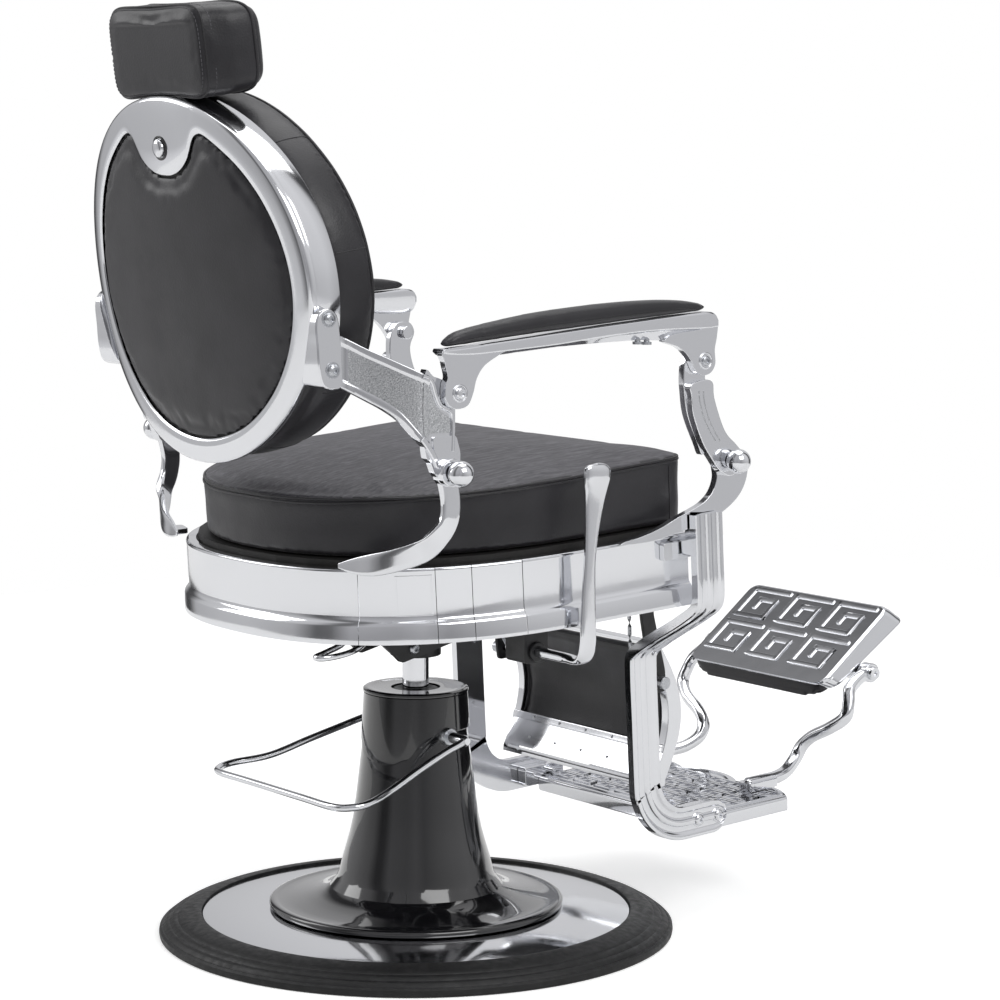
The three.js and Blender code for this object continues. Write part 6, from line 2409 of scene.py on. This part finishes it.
@dataclass
class BackRest:
    """The oval drum of the back: a bright ring and tongue, a rear panel and the front cushion."""

    half: float = 236.0
    high: float = 218.0
    wrap: float = 1010.0
    band: float = 40.0
    wall: float = 3.0
    cushion: float = 50.0
    crown: float = 16.0
    band_end: float = -104.0
    count: int = 176

    def sag(self, x: float) -> float:
        """How far forward the wrap lies at a distance from the middle."""
        return x * x / (2 * self.wrap)

    def oval(self, inset_by: float, depth: float, bent: bool = True) -> list[Point]:
        """A ring at an inset from the drum's outline and a depth behind its rear edge.

        Args:
            inset_by: How far in from the outline.
            depth: How far behind the rear edge.
            bent: Whether it follows the face that bows.

        Returns:
            The ring.
        """
        ring = []
        for i in range(self.count):
            a = 2 * math.pi * i / self.count
            x = (self.half - inset_by) * math.cos(a)
            ring.append((
                x, depth - (self.sag(x) if bent else 0), (self.high - inset_by) * math.sin(a)
            ))
        return ring

    def opening(self) -> list[Flat]:
        """The rear panel's outline: the oval with the tongue's bell drawn down into it.

        Returns:
            The closed outline.
        """
        half = [
            (0, 125.5), (18.5, 127.2), (35, 133.4), (49, 144), (57, 155), (63.6, 165.4),
            (70, 171.6), (79, 174.4), (89, 171.8), (101, 165.4), (117, 155.4), (139, 139.4),
            (159, 120), (178, 95), (194, 63.6), (203.6, 31), (206.6, 0), (203.6, -31),
            (194, -63.6), (178, -95), (155, -124.6), (124, -151), (88, -171), (45, -183.6),
            (0, -188),
        ]
        mirrored = [(-x, z) for x, z in reversed(half[1:-1])]
        return [(p.x, p.y) for p in flowing(half + mirrored, 5)]

    def build(self) -> None:
        """Builds the drum, the panel, the button and the front cushion."""
        self.build_drum()
        self.build_panel()
        self.build_cushion()

    def build_drum(self) -> None:
        """The ring with its tongue in one plate, its rolled edge and the band round the sides."""
        opening = self.opening()
        lip, wide = inset(opening, -1.6), inset(opening, -3.0)

        def lifted(flat: Sequence[Flat], depth: float) -> list[Point]:
            return [(x, depth - self.sag(x), z) for x, z in flat]

        def edge(inset_by: float) -> list[Flat]:
            """The opening drawn in, as an outline.

            Args:
                inset_by: How far in from the opening.

            Returns:
                The outline.
            """
            out = []
            for x, z in opening:
                a = math.atan2(z / 188, x / 206.6)
                out.append(((self.half - inset_by) * math.cos(a),
                            (self.high - inset_by) * math.sin(a)))
            return out

        def between(share: float) -> list[Flat]:
            return [
                (x0 + (x1 - x0) * share, z0 + (z1 - z0) * share)
                for (x0, z0), (x1, z1) in zip(edge(4.6), wide)
            ]

        plate = skin([
            lifted(edge(0.4), -9), lifted(edge(0), -5), lifted(edge(0.8), -2),
            lifted(edge(2.4), -0.4), lifted(edge(4.6), 0.3), lifted(between(0.33), 1.0),
            lifted(between(0.66), 1.2), lifted(wide, 1.0), lifted(lip, 0.4),
            lifted(opening, -1.0), lifted(opening, -6), lifted(lip, -6.6), lifted(edge(6), -9),
        ], closed=True)
        start = math.asin(self.band_end / self.high)
        arc = []
        for i in range(141):
            a = start + (math.pi - 2 * start) * i / 140
            ring = []
            for inset_by, depth in (
                (0.6, -7), (0.2, -9), (0.0, -11), (0.0, -self.band + 1), (0.6, -self.band),
                (self.wall - 0.6, -self.band), (self.wall, -self.band + 1), (self.wall, -8),
            ):
                x = (self.half - inset_by) * math.cos(a)
                ring.append((x, depth - self.sag(x), (self.high - inset_by) * math.sin(a)))
            arc.append(ring)
        plate.join(skin(arc))
        Piece(
            "drum_shell", plate, CHROME, "backrest", "chrome", BACK, bevel=0,
            replaces=("back_drum",),
        ).build()
        collar = turned(
            [(11.2, 0.6), (14.6, 0.6), (14.4, 2.0), (13, 2.6), (11.6, 2.0), (11.2, 0.6)],
            (0, 0, 158), Axis.Y, 40,
        )
        button = turned(
            [(0, -8), (4, -8), (4, 0), (10.6, 0), (10.8, 4.2), (9.6, 6), (6, 7.2), (0, 7.6)],
            (0, 0, 158), Axis.Y, 40,
        )
        Piece("button_collar", collar, SATIN, "backrest", "black_paint", BACK, bevel=0).build()
        Piece(
            "release_button", button, CHROME, "headrest_button", "chrome", BACK, bevel=0,
            replaces=("headrest_button",),
        ).build()

    def build_panel(self) -> None:
        """The soft rear panel, filled in its opening and drawn in round the tongue."""
        outline = inset(self.opening(), 1.2)
        panel = Cushion(
            "rear_panel", slab(outline, -6.0, -1.6, Axis.Y), LEATHER, "backrest",
            "upholstery_dark", BACK, replaces=("back_panel",), smoothing=4,
            stuffing=Stuffing(
                5.0, voxel=4.5, fill=0.5, bend=lambda p: Vector((p.x, p.y - self.sag(p.x), p.z)),
                held=lambda p: 0.0 if p.y + self.sag(p.x) > -3.4 else 1.0,
            ),
        )
        panel.make()

    def build_cushion(self) -> None:
        """The front cushion: a boxed side with radial seams, a welt and a crowned face."""
        f = -self.band - self.cushion
        levels = [
            (self.wall + 30, -15.5), (self.wall + 6, -17), (self.wall + 3.4, -24),
            (self.wall + 3.2, -self.band + 2), (self.wall - 1.6, -self.band - 6),
            (self.wall - 3, -self.band - 20), (self.wall - 3, f + 12), (self.wall - 1, f + 3),
            (self.wall + 5, f - 1.4), (self.wall + 22, f - 6), (self.wall + 48, f - 9),
            (self.wall + 84, f - 11.4), (self.wall + 124, f - self.crown + 2.6),
        ]
        rings = [self.oval(i, d, bent=False) for i, d in levels]
        cushion = Cushion(
            "back_cushion_cover", skin(rings, ends=True), STREAK, "backrest", "upholstery",
            BACK, replaces=("back_cushion",), second=LEATHER,
            is_second=lambda p: p.y + self.sag(p.x) > f + 2.4,
            stuffing=Stuffing(
                4.0, voxel=5.0, fill=0.8,
                bend=lambda p: Vector((p.x, p.y - self.sag(p.x), p.z)),
                held=lambda p: max(
                    0.0, min(1.0, (p.y + self.sag(p.x) + self.band + 4) / 8)
                ),
            ),
        )
        _, face = cushion.make()
        cushion.trim("back_welt", face.welt(self.oval(self.wall + 3, f + 2), 2.2, 0.6), THREAD)
        seams = Shell()
        for degrees in (47, 133, 8, 172, -38, 218, -70, 250):
            a = math.radians(degrees)
            x, z = (self.half + 2) * math.cos(a), (self.high + 2) * math.sin(a)
            run = [(x, -self.band - 2 - k * (self.cushion - 4) / 10 - self.sag(x), z)
                   for k in range(11)]
            seams.join(face.welt(run, 0.8, 0.0, closed=False))
        cushion.trim("back_side_seams", seams, THREAD)


@dataclass
class HeadRest:
    """The headrest: a flat rear panel, two cheeks and a crowned face, on a flat bright post."""

    rear_half: float = 101.0
    front_half: float = 122.0
    high: float = 56.5
    dip: float = 0.1
    arch: float = 0.2
    tilt: float = 5.0
    post_width: float = 26.0
    post_thick: float = 7.0
    post_length: float = 190.0
    post_y: float = -13.0

    def section(
        self, half: float, high: float, y: float, bulge: float, drop: float = 1.0
    ) -> list[Point]:
        """A ring whose top edge dips and whose bottom edge arches over the drum.

        Args:
            half: Half its width.
            high: Half its height.
            y: Its depth at the middle.
            bulge: How far its ends come forward.
            drop: How far it hangs under the middle.

        Returns:
            The ring.
        """
        ring = []
        for j in range(72):
            a = 2 * math.pi * j / 72
            c, s = math.cos(a), math.sin(a)
            x = half * math.copysign(abs(c) ** 0.38, c)
            share = (x / half) ** 2
            height = math.copysign(abs(s) ** 0.38, s)
            z = high * height * (1 - (self.dip if height > 0 else self.arch) * (1 - share))
            lean = math.tan(math.radians(self.tilt)) * z
            ring.append((x, y - bulge * share - lean, z - drop))
        return ring

    def build(self) -> None:
        """Fills the pad, sews its seams and adds the post."""
        r, f, h = self.rear_half, self.front_half, self.high
        pad = Cushion(
            "head_cushion",
            skin([
                self.section(r - 3, h, -1, 0), self.section(r + 1, h + 3, -5, 1),
                self.section(r + 4, h + 3, -12, 4, 2), self.section(r + 14, h + 2, -26, 10, 4),
                self.section(f - 2, h + 1, -42, 20, 5), self.section(f - 9, h - 3, -52, 24, 6),
                self.section(f - 23, h - 11, -57, 26, 6), self.section(f - 51, h - 29, -61, 18, 6),
            ], ends=True),
            LEATHER, "headrest", "upholstery", HEAD, replaces=("headrest_pad",), smoothing=6,
            stuffing=Stuffing(3.4, voxel=4.0, fill=0.8, held=lambda p: 0.6 if p.y > -4 else 0.0),
        )
        _, face = pad.make()
        seam = self.section(r + 3, h + 5, -5.6, 1)
        pad.trim("head_rear_seam", face.welt(seam, 1.3, 0.2), THREAD)
        rows = face.stitching(self.section(r - 3.4, h - 1, -3, 1))
        rows.join(face.stitching(self.section(r + 6, h + 5, -12, 4, 2)))
        pad.trim("head_stitches", rows, STITCH)
        front = self.section(f, h + 2, -44, 21, 5)
        pad.trim("head_front_welt", face.welt(front, 2.0, 0.5), THREAD)
        w, t = self.post_width / 2, self.post_thick / 2
        post = slab(
            rounded([(-w, self.post_y - t), (w, self.post_y - t), (w, self.post_y + t),
                     (-w, self.post_y + t)], 2.4), -self.post_length, 26.0 - h - 0.4, Axis.Z,
        )
        notches = Shell()
        for k in range(5):
            z = -80 - 22 * k
            notches.join(slab(
                [(-w - 0.3, z), (w + 0.3, z), (w + 0.3, z + 3.2), (-w - 0.3, z + 3.2)],
                self.post_y + t - 0.4, self.post_y + t + 0.3, Axis.Y,
            ))
        Piece(
            "head_post", post.join(notches), CHROME, "headrest", "chrome", HEAD, bevel=0.4,
            replaces=("headrest_post",),
        ).build()


# ---------------------------------------------------------------- controls


@dataclass
class Controls:
    """The recline lever at the right side with its mount, and the swivel lock's flat loop."""

    x: float = 316.0
    y: float = -26.0
    z: float = 382.0
    top: float = 615.0
    thick: float = 7.0

    def build(self) -> None:
        """Builds the lever, the mount and the lock."""
        # Each station: x, lean toward the rear, z, half width and thickness.
        stations = [
            (self.x, -12, 619, 3, 3), (self.x, -12, 616.6, 13, 8), (self.x, -11.6, 612, 18.4, 11),
            (self.x, -10.6, 604, 19, 11.6), (self.x, -9, 592, 17.4, 9.4),
            (self.x, -7, 575, 14, 7.6), (self.x, -4.4, 552, 11, 7), (self.x, -2, 528, 9, 7),
            (self.x, 0, 500, 8, 7), (self.x, 1.4, 460, 9.6, 7), (self.x, 2, 424, 11, 7),
            (self.x - 0.6, 2, 406, 11.4, 7), (self.x - 4, 2, 392, 11.4, 7.4),
            (self.x - 12, 1.4, 383.6, 11, 8), (self.x - 24, 0.6, 381.4, 9.6, 9),
            (self.x - 40, 0, 382, 7.4, 11), (self.x - 60, 0, 382, 6, 12),
            (self.x - 156, 0, 382, 6, 12),
        ]
        finer = [tuple(v) for v in flowing([Vector(m) for m in stations], 5, closed=False)]
        run = [Vector((x, self.y + lean, z)) for x, lean, z, _, _ in finer]
        grow = [(wide, thick / 2) for *_, wide, thick in finer]
        outs: list[Point] = []
        for i in range(len(run)):
            along = run[min(i + 1, len(run) - 1)] - run[max(i - 1, 0)]
            outs.append(tuple(Vector((0, 1, 0)).cross(along).normalized()))
        lever = swept(run, ellipse(2, 2, 0.66, 24), outs, grow)
        Piece(
            "lever_handle", lever.on(Side.RIGHT), CHROME, "recline_lever", "chrome", bevel=0,
            replaces=("recline_lever",),
        ).build()
        mount = slab(
            rounded([(self.y - 18, 368), (self.y + 18, 368), (self.y + 18, 471),
                     (self.y - 18, 471)], 7), 176, 214,
        )
        arm = slab([(120, self.y - 18), (214, self.y - 18), (214, self.y + 18),
                    (120, self.y + 18)], 470, 488, Axis.Z)
        bush = turned(
            [(6.6, 214), (12, 214), (12, 217.4), (11, 218.4), (6.6, 218.4), (6.6, 214)],
            (0, self.y, self.z), Axis.X, 32,
        )
        Piece(
            "lever_mount", mount.join(arm, bush).on(Side.RIGHT), SATIN, "seat", "black_paint",
            bevel=0.9, replaces=("recline_mount",),
        ).build()
        z = 408.0
        loop = flowing([
            (-26, 134, z), (-52, 146, z), (-84, 166, z), (-112, 196, z), (-134, 232, z),
            (-147, 254, z), (-158, 254, z), (-162, 240, z), (-157, 216, z), (-142, 190, z),
            (-112, 160, z), (-74, 136, z), (-34, 122, z),
        ], 6, closed=False)
        lock = swept(loop, ellipse(7.0, 7.0, 0.8, 16))
        lock.join(turned([(0, 398), (8, 398), (9, 399), (9, 493), (0, 493)], (-22, 130, 0)))
        Piece(
            "lock_handle", lock, CHROME, "swivel_lock", "chrome", SEAT, bevel=0,
            replaces=("swivel_lock",),
        ).build()


def carried_over() -> None:
    """Gives the nodes that keep their own mesh the finish of what they are made of; the seat
    board's near black is partly painted shade.
    """
    # The seat board's near black stands partly for the black vinyl wrapped down over it and partly
    # for painted shade in the gap between cushion and apron rim.
    finishes = {
        "pump_cylinder": STEEL, "seat_board": NEAR_BLACK_BOARD, "back_board": NEAR_BLACK_BOARD,
        "headrest_socket": STEEL,
    }
    for name, finish in finishes.items():
        node = bpy.data.objects[name]
        node.data.materials.clear()
        node.data.materials.append(finish.material())
        LOG.info("%s: keeps its mesh, finished as %s", name, finish.name)


# ---------------------------------------------------------------- studio


@dataclass
class Light:
    """A soft box aimed at the chair."""

    name: str
    at: Point
    size: Flat
    watts: float
    aim: Point = (0.0, 0.0, 0.6)

    def build(self) -> None:
        """Adds the soft box to the scene."""
        data = bpy.data.lights.new(self.name, "AREA")
        data.shape = "RECTANGLE"
        data.size, data.size_y = self.size
        data.energy = self.watts
        made = bpy.data.objects.new(self.name, data)
        made.location = self.at
        toward = Vector(self.aim) - Vector(self.at)
        made.rotation_euler = toward.to_track_quat("-Z", "Y").to_euler()
        bpy.context.scene.collection.objects.link(made)


@dataclass
class Studio:
    """A white studio: the camera, the floor with its shadow, the soft boxes and the walls."""

    camera_at: Point = (-3.1815, 2.2775, 1.0248)
    looking: Point = (0.7912, -0.5995, -0.1212)
    lens: float = 113.58
    floor_size: float = 5.6

    def clear(self) -> None:
        """Takes away whatever a new file starts with."""
        for old in list(bpy.data.objects):
            bpy.data.objects.remove(old)

    def build(self) -> None:
        """Builds the camera, floor, lights and walls."""
        self.build_camera()
        self.build_floor()
        self.build_walls()
        for light in (
            Light("key_box", (-3.4, 0.2, 3.1), (2.6, 2.0), 52),
            Light("rim_box", (2.8, 2.2, 2.4), (1.6, 2.4), 30),
            Light("top_box", (0.2, -0.4, 3.6), (2.6, 2.6), 40),
        ):
            light.build()

    def build_camera(self) -> None:
        """Puts the camera where the photograph was taken from."""
        data = bpy.data.cameras.new("view")
        data.lens = self.lens
        data.sensor_width = 36.0
        data.clip_end = 200.0
        made = bpy.data.objects.new("view", data)
        made.location = self.camera_at
        made.rotation_euler = Vector(self.looking).to_track_quat("-Z", "Y").to_euler()
        bpy.context.scene.collection.objects.link(made)
        bpy.context.scene.camera = made

    def build_floor(self) -> None:
        """Lays a matt white floor that glows just enough for the camera to see it as white."""
        s = self.floor_size / 2
        mesh = bpy.data.meshes.new("studio_floor")
        mesh.from_pydata([(-s, -s, 0), (s, -s, 0), (s, s, 0), (-s, s, 0)], [], [(0, 1, 2, 3)])
        floor = bpy.data.objects.new("studio_floor", mesh)
        bpy.context.scene.collection.objects.link(floor)
        paint = bpy.data.materials.new("matt_white_floor")
        paint.use_nodes = True
        tree = paint.node_tree
        tree.nodes.clear()
        path = add_node(tree, "LightPath").outputs
        mirrored = add_node(
            tree, "Math", {"operation": "MULTIPLY", 1: 0.35}, {0: path["Is Glossy Ray"]}
        ).outputs[0]
        seen = add_node(
            tree, "Math", {"operation": "MAXIMUM"}, {0: path["Is Camera Ray"], 1: mirrored}
        ).outputs[0]
        matt = add_node(
            tree, "BsdfDiffuse", {"Color": (0.8, 0.8, 0.8, 1), "Roughness": 0.5}
        ).outputs[0]
        glow = add_node(tree, "Emission", {"Color": (1, 1, 1, 1), "Strength": 0.5}).outputs[0]
        both = add_node(tree, "AddShader", None, {0: matt, 1: glow}).outputs[0]
        pick = add_node(tree, "MixShader", None, {"Fac": seen, 1: matt, 2: both}).outputs[0]
        end = add_node(tree, "OutputMaterial")
        tree.links.new(pick, end.inputs["Surface"])
        mesh.materials.append(paint)

    def build_walls(self) -> None:
        """White to the camera; to polished metal, pale walls with soft darker flags between."""
        world = bpy.data.worlds.new("studio_walls")
        world.use_nodes = True
        bpy.context.scene.world = world
        tree = world.node_tree
        tree.nodes.clear()
        path = add_node(tree, "LightPath").outputs
        ray = add_node(tree, "TexCoord").outputs["Generated"]
        split = add_node(tree, "SeparateXYZ", None, {0: ray}).outputs
        azimuth = add_node(
            tree, "Math", {"operation": "ARCTAN2"}, {0: split["Y"], 1: split["X"]}
        ).outputs[0]
        turn_share = add_node(
            tree, "MapRange", {"From Min": -math.pi, "From Max": math.pi}, {"Value": azimuth}
        ).outputs["Result"]
        around = ramp_of(tree, turn_share, [
            (0.0, "#dededf"), (0.07, "#f4f4f5"), (0.14, "#fbfbfc"), (0.19, "#e6e6e7"),
            (0.215, "#4a4a4b"), (0.245, "#525253"), (0.27, "#e9e9ea"), (0.40, "#f6f6f7"),
            (0.44, "#dadadb"), (0.465, "#5b5b5c"), (0.49, "#606061"), (0.52, "#e3e3e4"),
            (0.60, "#f7f7f8"), (0.68, "#d9d9da"), (0.72, "#7c7c7d"), (0.745, "#828283"),
            (0.78, "#cfcfd1"), (0.86, "#c4c4c6"), (0.90, "#d5d5d7"), (0.94, "#bdbdbf"),
            (1.0, "#dededf"),
        ])
        height = add_node(
            tree, "MapRange", {"From Min": -0.35, "From Max": 0.85}, {"Value": split["Z"]}
        ).outputs["Result"]
        upward = ramp_of(tree, height, [
            (0.0, "#ffffff"), (0.08, "#f6f6f7"), (0.16, "#d4d4d5"), (0.27, "#d8d8d9"),
            (0.42, "#e6e6e7"), (0.7, "#f0f0f1"), (1.0, "#f6f6f7"),
        ])
        mirror = add_node(
            tree, "Mix", {"data_type": "RGBA", "blend_type": "MULTIPLY", 0: 1.0},
            {6: around, 7: upward},
        ).outputs[2]
        soft = add_node(tree, "Background", {"Strength": 0.5, "Color": (1, 1, 1, 1)}).outputs[0]
        bright = add_node(tree, "Background", {"Strength": 1.0, "Color": (1, 1, 1, 1)}).outputs[0]
        walls = add_node(tree, "Background", {"Strength": 0.9}, {"Color": mirror}).outputs[0]
        plain = add_node(
            tree, "Math", {"operation": "MAXIMUM"},
            {0: path["Is Camera Ray"], 1: path["Is Transmission Ray"]},
        ).outputs[0]
        one = add_node(
            tree, "MixShader", None, {"Fac": path["Is Glossy Ray"], 1: soft, 2: walls}
        ).outputs[0]
        two = add_node(tree, "MixShader", None, {"Fac": plain, 1: one, 2: bright}).outputs[0]
        end = add_node(tree, "OutputWorld")
        tree.links.new(two, end.inputs["Surface"])


def main() -> None:
    """Builds the chair and the studio in order."""
    logging.basicConfig(level=logging.INFO, format="%(message)s")
    bpy.context.scene.view_settings.view_transform = "Standard"
    studio = Studio()
    studio.clear()
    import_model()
    studio.build()
    plan = SeatPlan()
    Base().build()
    Column().build()
    PumpPedal().build()
    SeatFrame(plan).build()
    SeatCushion(plan).build()
    Rails().build()
    Footrest().build()
    CalfRest().build()
    ArmRests().build()
    BackPlates().build()
    BackRest().build()
    HeadRest().build()
    Controls().build()
    carried_over()


if __name__ == "__main__":
    main()
